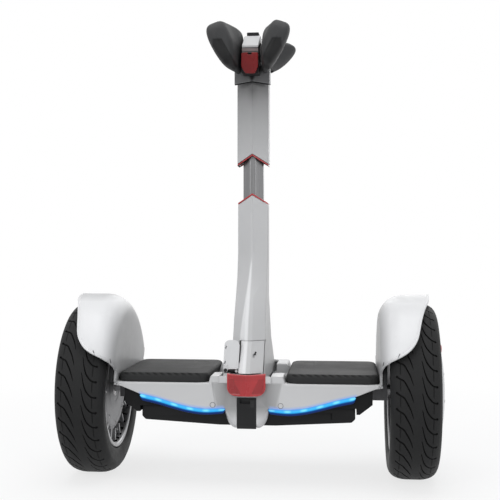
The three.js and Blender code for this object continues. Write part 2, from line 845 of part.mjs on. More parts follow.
function chargePort() {
  const face = deckHalfDepth + fit;
  const back = face - keelInsertThickness;
  const inner = socketHalfWidth - fit;
  const up = [socketBottom + fit, socketTop - fit];
  const plate = block([-inner, inner], [back, back + socketThickness], up);
  add('charge_socket', 'blackPlastic', plate);
  const low = socketBottom - capOverlap;
  const hinge = socketTop + capOverlap;
  const capInner = face + fit;
  const flap = block([-capHalfWidth, capHalfWidth], [capInner, capInner + capThickness], [low, hinge]);
  const centreY = capInner + capHingeRadius;
  const knuckle = rodAlongX(capHingeRadius, [-capHalfWidth, capHalfWidth], centreY, hinge, pinSteps);
  add('charge_port_cap', 'rubber', join(flap, knuckle));
}

// Chassis frame with its three bays and the two steering bearing blocks
function frameOutline() {
  const wingInner = batteryHalfWidth + wingGap;
  return bothSides([
    [wingInner, frameBottom],
    [wingInner, wingBottom],
    [wingInner + wingFootLength, wingBottom],
    [frameHalfWidth, wingShoulder],
    [frameHalfWidth, frameTop]
  ]);
}

function chassisFrame() {
  const body = frontPlate(frameOutline(), [-frameHalfDepth, frameHalfDepth]);
  const floor = frameBottom + frameWall;
  const above = frameTop + overrun;
  const insideY = frameHalfDepth - frameWall;
  const bayInner = centreBayHalfWidth + bayDividerWidth;
  const bayOuter = frameHalfWidth - frameWall;
  const bay = block([bayInner, bayOuter], [-insideY, insideY], [floor, above]);
  const centre = block(
    [-centreBayHalfWidth, centreBayHalfWidth],
    [-centreBayHalfDepth, centreBayHalfDepth],
    [floor, above]
  );
  const past = frameHalfDepth + overrun;
  const reliefFloor = pivotHeight + bayReliefRise;
  const relief = block([-centreBayHalfWidth, centreBayHalfWidth], [-past, past], [reliefFloor, above]);
  const open = cut(body, bay, mirrored(bay), centre, relief);
  const blockTop = pivotHeight + steeringBearingRadius + frameWall;
  const bearingBlocks = [-1, 1].map((end) => {
    const along = [end * centreBayHalfDepth, end * frameHalfDepth].sort((a, b) => a - b);
    return block([-bearingBlockHalfWidth, bearingBlockHalfWidth], along, [floor, blockTop]);
  });
  const bore = rodAlongY(steeringBearingRadius + fit, [-past, past], 0, pivotHeight);
  return cut(join(open, ...bearingBlocks), bore);
}

function steeringBearing(end, word) {
  const start = centreBayHalfDepth + fit;
  const along = [end * start, end * (start + steeringBearingWidth)].sort((a, b) => a - b);
  const hole = rodAlongY(shaftRadius + fit, [along[0] - overrun, along[1] + overrun], 0, pivotHeight);
  const ring = cut(rodAlongY(steeringBearingRadius, along, 0, pivotHeight), hole);
  add(`${word}_steering_bearing`, 'steel', ring);
}

function centringSpring() {
  const along = [footBlockFront + fit, centreBayHalfDepth - fit];
  const hole = rodAlongY(shaftRadius + fit, [along[0] - overrun, along[1] + overrun], 0, pivotHeight);
  add('centring_spring', 'steel', cut(rodAlongY(centringSpringRadius, along, 0, pivotHeight), hole));
}

// Battery and control board
function batteryOutline(inset, top) {
  const half = batteryHalfWidth - inset;
  const low = batteryBottom + inset;
  const end = low + batteryEndRise;
  return bothSides([
    [batteryFlatHalfWidth, low],
    [half - batteryChamfer, end],
    [half, end + batteryChamfer],
    [half, top]
  ]);
}

function batteryCase() {
  const shell = frontPlate(batteryOutline(0, keelTop), [-batteryHalfDepth, batteryHalfDepth]);
  const insideY = batteryHalfDepth - batteryWall;
  const hollow = frontPlate(batteryOutline(batteryWall, keelTop + overrun), [-insideY, insideY]);
  add('battery_case', 'blackPlastic', cut(shell, hollow));
}

function batteryCells() {
  const bottom = batteryBottom + batteryWall + batteryEndRise + fit;
  const radius = cellBlockHalfWidth / cellRows;
  const flute = Array.from({ length: cellRows * cellArcSteps }, (_, i) => {
    const cell = Math.floor(i / cellArcSteps);
    const angle = Math.PI - (Math.PI * (i % cellArcSteps)) / cellArcSteps;
    const [x, y] = circlePoint(radius, angle);
    return [-cellBlockHalfWidth + radius * (2 * cell + 1) + x, cellBlockHalfDepth - radius + y];
  });
  const rear = flute.map(([x, y]) => [-x, -y]);
  const solid = planPlate([...flute, ...rear], [bottom, keelTop - batteryWall]);
  add('battery_cells', 'battery', solid);
}

function controlBoard() {
  const floor = frameBottom + frameWall + fit;
  const level = floor + boardStandoff;
  const top = level + boardThickness;
  const board = block([boardInner, boardOuter], [-boardHalfDepth, boardHalfDepth], [level, top]);
  const inset = boardStandoffRadius * 2;
  const corners = [boardInner + inset, boardOuter - inset].flatMap((x) =>
    [-boardHalfDepth + inset, boardHalfDepth - inset].map((y) => [x, y])
  );
  const radius = boardStandoffRadius;
  const length = boardStandoff + fit;
  const legs = corners.map(([x, y]) => {
    const leg = new THREE.CylinderGeometry(radius, radius, length, pinSteps).rotateX(Math.PI / 2);
    return solidOf(leg.translate(x, y, floor + length / 2));
  });
  const middle = (boardInner + boardOuter) / 2;
  const halfChip = chipSize / 2;
  const chips = [-1, 1].map((end) => {
    const x = middle + end * chipSize;
    const y = end * halfChip;
    return block([x - halfChip, x + halfChip], [y - halfChip, y + halfChip], [level, top + chipHeight]);
  });
  add('control_board', 'greenBoard', join(board, ...legs, ...chips));
}

// Foot mats over their pressure sensors
function roundedOutline(width, height, radius) {
  const shape = new THREE.Shape();
  const [x, y] = [width / 2, height / 2];
  shape.absarc(x - radius, y - radius, radius, 0, Math.PI / 2);
  shape.absarc(radius - x, y - radius, radius, Math.PI / 2, Math.PI);
  shape.absarc(radius - x, radius - y, radius, Math.PI, (3 * Math.PI) / 2);
  shape.absarc(x - radius, radius - y, radius, (3 * Math.PI) / 2, 2 * Math.PI);
  return shape;
}

function footMat(side, word) {
  const bottom = deckTop + fit;
  const width = matOuter - matInner - 2 * matBevel;
  const height = 2 * (matHalfDepth - matBevel);
  const shape = roundedOutline(width, height, matCornerRadius - matBevel);
  const geometry = new THREE.ExtrudeGeometry(shape, {
    depth: matTop - bottom - 2 * matBevel,
    bevelThickness: matBevel,
    bevelSize: matBevel,
    bevelSegments: bevelSteps,
    curveSegments: cornerSteps
  });
  const middle = (matInner + matOuter) / 2;
  const mat = solidOf(geometry.translate(middle, 0, bottom + matBevel));
  const pocketX = [middle - sensorHalfWidth - fit, middle + sensorHalfWidth + fit];
  const pocketY = [-sensorHalfDepth - fit, sensorHalfDepth + fit];
  const pocket = block(pocketX, pocketY, [bottom - overrun, bottom + sensorThickness + fit]);
  const sensorX = [middle - sensorHalfWidth, middle + sensorHalfWidth];
  const sensor = block(sensorX, [-sensorHalfDepth, sensorHalfDepth], [bottom, bottom + sensorThickness]);
  add(`${word}_foot_mat`, 'rubber', onSide(cut(mat, pocket), side));
  add(`${word}_foot_sensor`, 'silver', onSide(sensor, side));
}

// Steering column
function blend(low, high, share) {
  return low + (high - low) * share;
}

// Eight points of a column's plan section, ridge facets to the rear and to the front
function columnSection({ rear, rearCorner, rearHalf, frontCorner, frontHalf, front, facet }) {
  return [
    [-facet, rear],
    [facet, rear],
    [rearHalf, rearCorner],
    [frontHalf, frontCorner],
    [facet, front],
    [-facet, front],
    [-frontHalf, frontCorner],
    [-rearHalf, rearCorner]
  ];
}

function straightSection(halfWidth, halfDepth, sideHalf, facet) {
  return columnSection({
    rear: columnCentre - halfDepth,
    rearCorner: columnCentre - sideHalf,
    rearHalf: halfWidth,
    frontCorner: columnCentre + sideHalf,
    frontHalf: halfWidth,
    front: columnCentre + halfDepth,
    facet
  });
}

function poleSection(growth) {
  return straightSection(
    poleHalfWidth + growth,
    poleHalfDepth + growth,
    poleSideHalf + growth / 2,
    poleFacetHalf
  );
}

function sleeveSection(inset) {
  return straightSection(
    sleeveHalfWidth - inset,
    sleeveHalfDepth - inset,
    sleeveSideHalf - inset / 2,
    sleeveFacetHalf
  );
}

function stemTopSection() {
  const facet = stemFacetHalf * stemRidgeShares.at(-1);
  return straightSection(stemHalfWidth, stemHalfDepth, stemSideHalf, facet);
}

function stemRings(shift) {
  return stemLevelShares.map((level, i) => {
    const height = blend(stemBottom, stemPeak, level);
    const section = columnSection({
      rear: blend(columnCentre - stemHalfDepth, -stemFootRear, stemRearShares[i]),
      rearCorner: blend(columnCentre - stemSideHalf, -stemFootRearCorner, stemRearShares[i]),
      rearHalf: blend(stemHalfWidth, stemFootRearHalfWidth, stemWidthShares[i]),
      frontCorner: blend(columnCentre + stemSideHalf, stemFootFrontCorner, stemFrontShares[i]),
      frontHalf: blend(stemHalfWidth, stemFootFrontHalfWidth, stemWidthShares[i]),
      front: blend(columnCentre + stemHalfDepth, stemFootFront, stemNoseShares[i]),
      facet: stemFacetHalf * stemRidgeShares[i]
    });
    return section.map(([x, y]) => new THREE.Vector3(x, y + shift, height));
  });
}

// Everything below a pair of planes that fall away from the middle to both sides
function belowChevron(peak) {
  const reach = stemHalfWidth + overrun;
  const low = peak - reach * chevronSlope;
  const past = stemFootRear + overrun;
  const floor = low - stemPeak;
  const points = [[0, peak], [-reach, low], [-reach, floor], [reach, floor], [reach, low]];
  return frontPlate(points, [-past, past]);
}

// The lock lever leans like the stem behind it: this gives its outer face at a height
function leverFaceAt(height, offset) {
  const share = (height - leverBottom) / (leverTop - leverBottom);
  return blend(-leverRearBottom, -leverRearTop, share) + offset;
}

function leverRecess() {
  const rise = leverTop - leverBottom;
  const slope = Math.hypot(rise, leverRearBottom - leverRearTop) / rise;
  const depth = (leverThickness + leverRecessGap) * slope;
  const rear = -stemFootRear - overrun;
  const bracketFront = -leverBracketRear + leverBracketDepth + fit;
  const points = [
    [rear, leverBracketBottom - fit],
    [bracketFront, leverBracketBottom - fit],
    [bracketFront, leverBracketTop + fit],
    [leverFaceAt(leverBracketTop + fit, depth), leverBracketTop + fit],
    [leverFaceAt(leverRecessTop, depth), leverRecessTop],
    [rear, leverRecessTop]
  ];
  return sidePlate(points, [-leverLeft - overrun, -leverRight + leverSideGap]);
}

function panelSpan(growth) {
  return block(
    [-panelLeft - growth, panelRight + growth],
    [-stemFootRear - overrun, 0],
    [stemRearFloor - growth, panelTop + growth]
  );
}

function bushTop() {
  return stemPeak - stemHalfWidth * chevronSlope - trimThickness - runningFit;
}

function lowerStem() {
  const outer = lofted(stemRings(0));
  const shoulder = stemPeak - trimThickness - fit;
  const boreFloor = poleBottom - poleStroke - poleFloorGap;
  const bushBottom = bushTop() - bushLength;
  const bore = planPlate(poleSection(runningFit), [boreFloor, stemPeak + overrun]);
  const bushSeat = planPlate(poleSection(bushThickness + fit), [bushBottom - fit, bushTop() + fit]);
  const foot = block(
    [-footBlockHalfWidth, footBlockHalfWidth],
    [-footBlockRear, footBlockFront],
    [footBlockBottom, stemBottom + fit]
  );
  const pastShaft = [-footBlockRear - overrun, footBlockFront + overrun];
  const panelLayer = cut(panelSpan(fit), lofted(stemRings(panelThickness + fit)));
  const rearCut = -deckHalfDepth + deckSkin + stemRearGap;
  const rearUnder = block(
    [-wellLeft, wellRight],
    [-stemFootRear - overrun, rearCut],
    [stemBottom - overrun, stemRearFloor]
  );
  const body = join(outer.intersect(belowChevron(shoulder)), foot);
  return cut(
    body,
    bore,
    bushSeat,
    rodAlongY(shaftRadius + fit, pastShaft, 0, pivotHeight),
    panelLayer,
    leverRecess(),
    rearUnder
  );
}

function stemPieces() {
  add('lower_stem', 'whitePaint', lowerStem());
  const panel = cut(lofted(stemRings(0)).intersect(panelSpan(0)), lofted(stemRings(panelThickness)));
  const slotX = [slotAcross - slotWidth / 2, slotAcross + slotWidth / 2];
  const slotZ = [slotHeight - slotLength / 2, slotHeight + slotLength / 2];
  const slot = block(slotX, [-stemFootRear - overrun, 0], slotZ);
  add('stem_rear_panel', 'whitePaint', cut(panel, leverRecess(), slot));
  const bushBottom = bushTop() - bushLength;
  const bushBody = planPlate(poleSection(bushThickness), [bushBottom, bushTop()]);
  const bushBore = planPlate(poleSection(fit), [bushBottom - overrun, bushTop() + overrun]);
  add('pole_bush', 'blackPlastic', cut(bushBody, bushBore));
  const low = stemPeak - trimBlankHeight;
  const ring = planPlate(stemTopSection(), [low, stemPeak]);
  const bore = planPlate(poleSection(runningFit), [low - overrun, stemPeak + overrun]);
  const trim = cut(ring.intersect(belowChevron(stemPeak)), belowChevron(stemPeak - trimThickness), bore);
  add('stem_trim', 'redPlastic', trim);
}

function steeringShaft() {
  const end = frameHalfDepth - fit;
  add('steering_shaft', 'steel', rodAlongY(shaftRadius, [-end, end], 0, pivotHeight));
}

function footCover() {
  const half = footCoverHalfWidth;
  const plan = [
    [-half, -footCoverSide],
    [-stemFacetHalf, -footCoverRidge],
    [stemFacetHalf, -footCoverRidge],
    [half, -footCoverSide],
    [half, -footCoverSide + footCoverThickness],
    [stemFacetHalf, -footCoverRidge + footCoverThickness],
    [-stemFacetHalf, -footCoverRidge + footCoverThickness],
    [-half, -footCoverSide + footCoverThickness]
  ];
  const chamferTop = footCoverBottom + footCoverChamfer;
  const corner = frontPlate(
    [
      [half + fit, chamferTop],
      [half - footCoverChamfer, footCoverBottom - fit],
      [half + fit, footCoverBottom - fit]
    ],
    [-footCoverRidge - overrun, 0]
  );
  const plate = planPlate(plan, [footCoverBottom, footCoverTop]);
  add('foot_cover', 'redPlastic', cut(plate, corner, mirrored(corner)));
}

// Lock lever: a rounded plate that leans with the stem, on a knuckle round its pin
function leverPlateShape(width, height) {
  const shape = new THREE.Shape();
  shape.absarc(width - leverFootRound, leverFootRound, leverFootRound, -Math.PI / 2, 0);
  shape.absarc(width - leverTopRound, height - leverTopRound, leverTopRound, 0, Math.PI / 2);
  shape.absarc(leverTopRound, height - leverTopRound, leverTopRound, Math.PI / 2, Math.PI);
  shape.absarc(leverFootRound, leverFootRound, leverFootRound, Math.PI, (3 * Math.PI) / 2);
  return shape;
}

function lockLever() {
  const rise = leverTop - leverBottom;
  const lean = leverRearBottom - leverRearTop;
  const height = Math.hypot(rise, lean);
  const upSlope = new THREE.Vector3(0, lean / height, rise / height);
  const right = new THREE.Vector3(1, 0, 0);
  const outward = new THREE.Vector3().crossVectors(right, upSlope);
  const corner = new THREE.Vector3(-leverLeft, -leverRearBottom, leverBottom);
  corner.addScaledVector(outward, -leverThickness);
  const shape = leverPlateShape(leverLeft - leverRight, height);
  const geometry = new THREE.ExtrudeGeometry(shape, {
    depth: leverThickness,
    bevelEnabled: false,
    curveSegments: cornerSteps
  });
  geometry.applyMatrix4(new THREE.Matrix4().makeBasis(right, upSlope, outward).setPosition(corner));
  const knuckleY = [-leverRearBottom, -leverBracketRear - fit];
  const knuckle = rodAlongY(leverKnuckleRadius, knuckleY, -leverPinAcross, leverPinHeight, pinSteps);
  const arm = block(
    [-leverPinAcross - leverKnuckleRadius, -leverPinAcross + leverKnuckleRadius],
    [knuckleY[0], leverFaceAt(leverPinHeight, leverThickness)],
    [leverPinHeight, leverBottom + leverFootRound * 2]
  );
  const boreY = [knuckleY[0] - overrun, knuckleY[1] + overrun];
  const bore = rodAlongY(leverPinRadius + fit, boreY, -leverPinAcross, leverPinHeight, pinSteps);
  add('lock_lever', 'whitePaint', cut(join(solidOf(geometry), knuckle, arm), bore));
}

function leverMount() {
  const front = -leverBracketRear + leverBracketDepth;
  const body = block(
    [-leverLeft, -leverRight],
    [-leverBracketRear, front],
    [leverBracketBottom, leverBracketTop]
  );
  const pinEnd = -leverBracketRear + leverBracketDepth / 2;
  const boreY = [-leverBracketRear - overrun, pinEnd + fit];
  const bore = rodAlongY(leverPinRadius + fit, boreY, -leverPinAcross, leverPinHeight, pinSteps);
  add('lever_bracket', 'blackPlastic', cut(body, bore));
  const pinY = [-leverRearBottom - fit, pinEnd];
  add('lever_pin', 'steel', rodAlongY(leverPinRadius, pinY, -leverPinAcross, leverPinHeight, pinSteps));
}

// Telescopic pole, sleeve and collar
function polePieces() {
  add('pole', 'silver', planPlate(poleSection(0), [poleBottom, sleeveTop - fit]));
  const low = sleevePeak - trimBlankHeight;
  const outer = planPlate(sleeveSection(0), [low, sleeveTop]);
  const wide = planPlate(sleeveSection(sleeveWall), [low - overrun, sleeveTop - sleeveSocketLength]);
  const socket = planPlate(poleSection(fit), [low, sleeveTop + overrun]);
  const sleeve = cut(outer, wide, socket, belowChevron(sleevePeak + trimThickness + fit));
  add('upper_sleeve', 'sleevePaint', sleeve);
  const ring = cut(outer, wide, belowChevron(sleevePeak));
  add('sleeve_trim', 'redPlastic', ring.intersect(belowChevron(sleevePeak + trimThickness)));
  const bottom = sleeveTop + fit;
  const section = straightSection(collarHalfWidth, collarHalfDepth, collarSideHalf, sleeveFacetHalf);
  const rear = columnCentre - collarHalfDepth;
  const vee = planPlate(
    [
      [-collarVeeHalfWidth, rear - overrun],
      [collarVeeHalfWidth, rear - overrun],
      [collarVeeHalfWidth, rear],
      [0, rear + collarVeeDepth],
      [-collarVeeHalfWidth, rear]
    ],
    [(bottom + collarTop) / 2, collarTop + overrun]
  );
  add('collar', 'blackPlastic', cut(planPlate(section, [bottom, collarTop]), vee));
}

// Head frame, handle and height trigger
function handleUnderside(gap) {
  const drop = handleThickness;
  return [
    [-headRear, handleRearBottom - gap],
    [handleFlatRear, handleTop - drop - gap],
    [handleFlatFront - handleThroatInset, handleTop - drop - gap]
  ];
}

function headFrame() {
  const foot = collarTop + fit;
  const heelFront = columnCentre - collarHalfDepth - fit;
  const points = [
    [-headLowerRear, headRearBottom],
    [-headLowerRear, headLipHeight],
    [-headRear, headLipHeight],
    ...handleUnderside(fit),
    [headFront, handleNoseBottom],
    [headFront, foot],
    [heelFront, foot],
    [-headHeelRear, headRearBottom]
  ];
  const pocket = block(
    [-triggerShankHalfWidth - fit, triggerShankHalfWidth + fit],
    [-headRear - overrun, -triggerRear + triggerThickness + triggerShankLength + triggerTravel + fit],
    [triggerShankBottom - fit, triggerShankTop + fit]
  );
  return cut(sidePlate(points, [-headHalfWidth, headHalfWidth]), pocket);
}

function handlePieces() {
  const across = [-headHalfWidth, headHalfWidth];
  add('head_frame', 'blackPlastic', headFrame());
  const points = [
    [-headRear, handleRearTop],
    [handleFlatRear, handleTop],
    [handleFlatFront, handleTop],
    [handleFront, handleNoseTop],
    [handleFront, handleNoseBottom + fit],
    ...handleUnderside(0).reverse()
  ];
  add('handle', 'whitePaint', sidePlate(points, across));
  const capMiddle = (handleFlatRear + handleFlatFront) / 2;
  const capY = [capMiddle - handleCapLength / 2, capMiddle + handleCapLength / 2];
  const capZ = [handleTop + fit, handleTop + fit + handleCapHeight];
  add('handle_cap', 'blackPlastic', block([-handleCapHalfWidth, handleCapHalfWidth], capY, capZ));
}

function heightTrigger() {
  const top = headLipHeight - fit;
  const half = headHalfWidth;
  const notch = triggerNotchWidth / 2;
  const face = [
    [-half, triggerBottom + triggerChamfer * 2],
    [-half + triggerChamfer, triggerBottom],
    [half - triggerChamfer, triggerBottom],
    [half, triggerBottom + triggerChamfer * 2],
    [half, top],
    [notch, top],
    [notch, top - triggerNotchHeight],
    [-notch, top - triggerNotchHeight],
    [-notch, top],
    [-half, top]
  ];
  const front = -triggerRear + triggerThickness;
  const plate = frontPlate(face, [-triggerRear, front]);
  const shank = block(
    [-triggerShankHalfWidth, triggerShankHalfWidth],
    [front - fit, front + triggerShankLength],
    [triggerShankBottom, triggerShankTop]
  );
  add('height_trigger', 'redPlastic', join(plate, shank));
}

// Knee pads: a lens shaped section swept fore and aft, full at the rear and leaning out in front
function padRing(station, foot, crown, rise, drop, thickness) {
  const bottomX = padMiddleAcross + padFootFlare * foot;
  const topX = padMiddleAcross + padCrownFlare * crown;
  const bottomZ = padBottom + padFrontRise * rise;
  const topZ = padTop - padCrownDrop * drop;
  const half = Math.hypot(topX - bottomX, topZ - bottomZ) / 2;
  const along = new THREE.Vector2(topX - bottomX, topZ - bottomZ).normalize();
  const thick = padHalfThickness * thickness;
  return Array.from({ length: padSectionSteps }, (_, step) => {
    const angle = (2 * Math.PI * step) / padSectionSteps;
    const up = half * Math.sin(angle);
    const out = thick * Math.sign(Math.cos(angle)) * Math.sqrt(Math.abs(Math.cos(angle)));
    const x = (bottomX + topX) / 2 + along.x * up + along.y * out;
    const z = (bottomZ + topZ) / 2 + along.y * up - along.x * out;
    return new THREE.Vector3(x, station * padHalfLength, z);
  });
}

function kneePad(side, word) {
  const rings = padStationShares.map((station, i) =>
    padRing(
      station,
      padFootShares[i],
      padCrownShares[i],
      padRiseShares[i],
      padDropShares[i],
      padThicknessShares[i]
    )
  );
  const collarReach = collarHalfWidth + overrun;
  const collarRear = columnCentre - collarHalfDepth - fit;
  const collarFront = columnCentre + collarHalfDepth + fit;
  const seat = block([0, collarReach], [collarRear, collarFront], [padBottom - overrun, collarTop + fit]);
  add(`${word}_knee_pad`, 'padFoam', onSide(cut(lofted(rings), seat), side));
}

// The whole machine
add('deck_shell', 'whitePaint', deckShell());
add('chassis_frame', 'blackCasting', chassisFrame());
batteryCase();
batteryCells();
controlBoard();
keelInserts();
headlight();
statusDisplay();
powerButton();
chargePort();
steeringBearing(-1, 'rear');
steeringBearing(1, 'front');
centringSpring();
steeringShaft();
stemPieces();
footCover();
lockLever();
leverMount();
polePieces();
handlePieces();
heightTrigger();
for (const [side, word] of [[-1, 'left'], [1, 'right']]) {
  footMat(side, word);
  fender(side, word);
  tailLight(side, word);
  axleAndClamp(side, word);
  wheel(side, word);
  kneePad(side, word);
}

export default transporter;
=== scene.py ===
"""The dressed self balancing transporter: finer shells, tread, lights and finishes over the frame."""

import math

import bmesh
import bpy
from mathutils import Matrix, Vector
from mathutils.bvhtree import BVHTree


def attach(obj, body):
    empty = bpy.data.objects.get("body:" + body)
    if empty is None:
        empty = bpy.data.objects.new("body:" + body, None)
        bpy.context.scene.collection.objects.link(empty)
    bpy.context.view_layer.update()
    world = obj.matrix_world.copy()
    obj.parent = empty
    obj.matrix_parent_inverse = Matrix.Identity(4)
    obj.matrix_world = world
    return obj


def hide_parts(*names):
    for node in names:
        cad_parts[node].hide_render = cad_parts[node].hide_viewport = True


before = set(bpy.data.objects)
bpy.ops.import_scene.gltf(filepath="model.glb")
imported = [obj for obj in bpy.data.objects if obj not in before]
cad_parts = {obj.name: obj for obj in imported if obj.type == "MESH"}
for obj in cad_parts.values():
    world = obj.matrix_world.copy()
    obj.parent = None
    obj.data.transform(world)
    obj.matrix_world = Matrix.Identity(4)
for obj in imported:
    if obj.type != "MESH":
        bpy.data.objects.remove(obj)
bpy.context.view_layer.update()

# Sizes in millimetres, the same as in the part's source
MM = 0.001
AXLE = 128
HALF_TRACK = 234
DECK_DEPTH = 88
DECK_TOP = 147
KEEL_TOP = 112
SIDES = {"left": -1, "right": 1}
# The light strips: where they start and end, their rise, and its share at shares of their length
LIGHT_IN = 30.3
LIGHT_OUT = 152.6
LIGHT_RISE = 20.3
LIGHT_ACROSS = [0, 0.228, 0.414, 0.6, 0.8, 1]
LIGHT_UP = [0.1, 0, 0.12, 0.39, 0.73, 1]


# ---------------------------------------------------------------- node trees
def operator(operation, turned=False):
    """A method that adds a Math node; turned puts the other value first."""
    def maths(self, other):
        first, second = (other, self) if turned else (self, other)
        return self.graph.add("ShaderNodeMath", {"operation": operation}, {0: first, 1: second})

    return maths


class Socket:
    """A value in a node tree. Arithmetic on it adds the Math nodes."""

    def __init__(self, graph, socket):
        self.graph, self.socket = graph, socket

    __add__, __radd__ = operator("ADD"), operator("ADD", True)
    __sub__, __rsub__ = operator("SUBTRACT"), operator("SUBTRACT", True)
    __mul__, __rmul__ = operator("MULTIPLY"), operator("MULTIPLY", True)


class Graph:
    """A node tree that is written as calls."""

    def __init__(self, tree):
        self.tree = tree

    def add(self, kind, settings=None, values=None, output=0):
        node = self.tree.nodes.new(kind)
        for name, value in (settings or {}).items():
            if name == "stops":
                self._set_stops(node.color_ramp, value)
            else:
                setattr(node, name, value)
        for key, value in (values or {}).items():
            if isinstance(value, Socket):
                self.tree.links.new(value.socket, node.inputs[key])
            elif value is not None:
                node.inputs[key].default_value = value
        return Socket(self, node.outputs[output] if len(node.outputs) else None)

    @staticmethod
    def _set_stops(ramp, stops):
        while len(ramp.elements) < len(stops):
            ramp.elements.new(1)
        for element, (place, colour) in zip(ramp.elements, stops):
            element.position = place
            element.color = (*colour, 1) if isinstance(colour, tuple) else (colour, colour, colour, 1)

    def in_sight(self):
        """1 for the rays that the camera sees straight, in a mirror or through glass."""
        camera, mirror, through = (self.add("ShaderNodeLightPath", output=f"Is {kind} Ray")
                                   for kind in ("Camera", "Glossy", "Transmission"))
        return self.add("ShaderNodeMath", {"operation": "MINIMUM"}, {0: camera + mirror + through, 1: 1.0})


class Finish(Graph):
    """A material in the making: a place on the piece, patterns on it, and one shader."""

    def __init__(self, name):
        self.material = bpy.data.materials.new(name)
        self.material.use_nodes = True
        self.material.node_tree.nodes.clear()
        super().__init__(self.material.node_tree)
        self.place = self.add("ShaderNodeTexCoord", output="Object")

    def stretched(self, scale):
        return self.add("ShaderNodeMapping", None, {"Vector": self.place, "Scale": scale})

    def noise(self, scale, detail, place=None, roughness=0.5):
        values = {"Vector": place or self.place, "Scale": scale, "Detail": detail, "Roughness": roughness}
        return self.add("ShaderNodeTexNoise", None, values, "Fac")

    def cells(self, scale, feature="F1"):
        values = {"Vector": self.place, "Scale": scale}
        return self.add("ShaderNodeTexVoronoi", {"feature": feature}, values, "Distance")

    def waves(self, scale, distortion, profile="SIN"):
        values = {"Vector": self.place, "Scale": scale, "Distortion": distortion}
        return self.add("ShaderNodeTexWave", {"wave_profile": profile}, values, "Fac")

    def ranged(self, value, low, high, new_low=0.0, new_high=1.0):
        values = {"Value": value, 1: low, 2: high, 3: new_low, 4: new_high}
        return self.add("ShaderNodeMapRange", {"clamp": True}, values)

    def ramp(self, value, stops):
        return self.add("ShaderNodeValToRGB", {"stops": stops}, {0: value})

    def grey_ramp(self, value, stops):
        return self.add("ShaderNodeSeparateColor", None, {0: self.ramp(value, stops)}, "Red")

    def mixed(self, factor, low, high):
        settings = {"data_type": "RGBA", "clamp_factor": True}
        low, high = (c if isinstance(c, Socket) else (*c, 1) for c in (low, high))
        return self.add("ShaderNodeMix", settings, {0: factor, 6: low, 7: high}, 2)

    def edges(self):
        """1 on convex edges, 0 on flat ground."""
        sharp = self.add("ShaderNodeNewGeometry", output="Pointiness")
        return self.ranged(sharp, 0.52, 0.62)

    def axis(self, name, place=None):
        return self.add("ShaderNodeSeparateXYZ", None, {0: place or self.place}, name)

    def size(self, value):
        return self.add("ShaderNodeMath", {"operation": "ABSOLUTE"}, {0: value})

    def attribute(self, name):
        return self.add("ShaderNodeAttribute", {"attribute_name": name}, output="Fac")

    def bump(self, height, strength, distance):
        values = {"Height": height, "Strength": strength, "Distance": distance}
        return self.add("ShaderNodeBump", None, values)

    def shade(self, colour, roughness, normal, **plain):
        names = {key.replace("_", " "): value for key, value in plain.items()}
        base = colour if isinstance(colour, Socket) else (*colour, 1)
        values = {"Base Color": base, "Roughness": roughness, "Normal": normal, **names}
        shader = self.add("ShaderNodeBsdfPrincipled", None, values, "BSDF")
        self.add("ShaderNodeOutputMaterial", None, {"Surface": shader})
        return self.material


# ---------------------------------------------------------------- finishes
def toned(colour, share, lift=0.0):
    """A darker or paler colour."""
    return tuple(min(1, c * share + lift) for c in colour)


def casing_paint(name, colour, roughness=0.34, shade=None, tone=0.3, spill=None):
    """Satin paint on a moulded shell: faint cloudiness, orange peel, and edges rubbed a little dull.

    shade gives where painted shade, or on the column a painted highlight, turns the paint to another tone,
    and spill where painted blue light from the strips falls on it."""
    f = Finish(name)
    cloud = f.noise(9, 3)
    dust = f.noise(60, 5, roughness=0.65)
    tint = f.mixed(f.ranged(cloud, 0.35, 0.65), toned(colour, 0.95), colour)
    if shade:
        # Painted shade, or a painted highlight where tone is above one, from the shade function.
        tint = f.mixed(shade(f), tint, toned(colour, tone))
    tint = f.mixed(f.edges() * 0.2, tint, toned(colour, 0.8))
    tint = f.mixed(f.ranged(dust, 0.62, 0.8) * 0.1, tint, (0.42, 0.41, 0.39))
    if spill:
        tint = f.mixed(spill(f), tint, (0.30, 0.44, 0.86))
    dull = roughness + f.ranged(dust, 0.3, 0.7) * 0.1 + f.edges() * 0.08
    peel = f.noise(420, 2)
    return f.shade(tint, dull, f.bump(peel, 0.06, 0.0004), Coat_Weight=0.1, Coat_Roughness=0.15,
                   Specular_IOR_Level=0.4)


def grained_plastic(name, colour, roughness=0.55, grain=1500, depth=0.25):
    """Moulded plastic with a fine spark eroded grain, paler where hands and shoes rub it, and painted shade
    in the collar's sunk V.
    """
    f = Finish(name)
    paler = toned(colour, 2.4, 0.01)
    scuff = f.ranged(f.noise(45, 6, roughness=0.7), 0.55, 0.75)
    tint = f.mixed(scuff * 0.3, colour, paler)
    tint = f.mixed(f.edges() * 0.5, tint, paler)
    # Painted shade in the sunk V of the collar.
    tint = f.mixed(f.attribute("valley") * 0.9, tint, toned(colour, 0.1))
    pits = f.cells(grain)
    dull = roughness + scuff * 0.12 - f.edges() * 0.1
    return f.shade(tint, dull, f.bump(pits, depth, 0.0002), Specular_IOR_Level=0.22)


def cast_paint(name, colour):
    """Sand cast metal under matt paint: a coarse skin, thin and greyer where tools have rubbed."""
    f = Finish(name)
    skin = f.noise(700, 4, roughness=0.6)
    rubbed = f.ranged(f.noise(160, 4), 0.6, 0.75)
    tint = f.mixed(f.ranged(f.noise(30, 3), 0.3, 0.7), colour, toned(colour, 1.7))
    tint = f.mixed(rubbed * 0.35, tint, toned(colour, 3))
    return f.shade(tint, 0.56 + skin * 0.2, f.bump(skin, 0.4, 0.0004), Specular_IOR_Level=0.22)


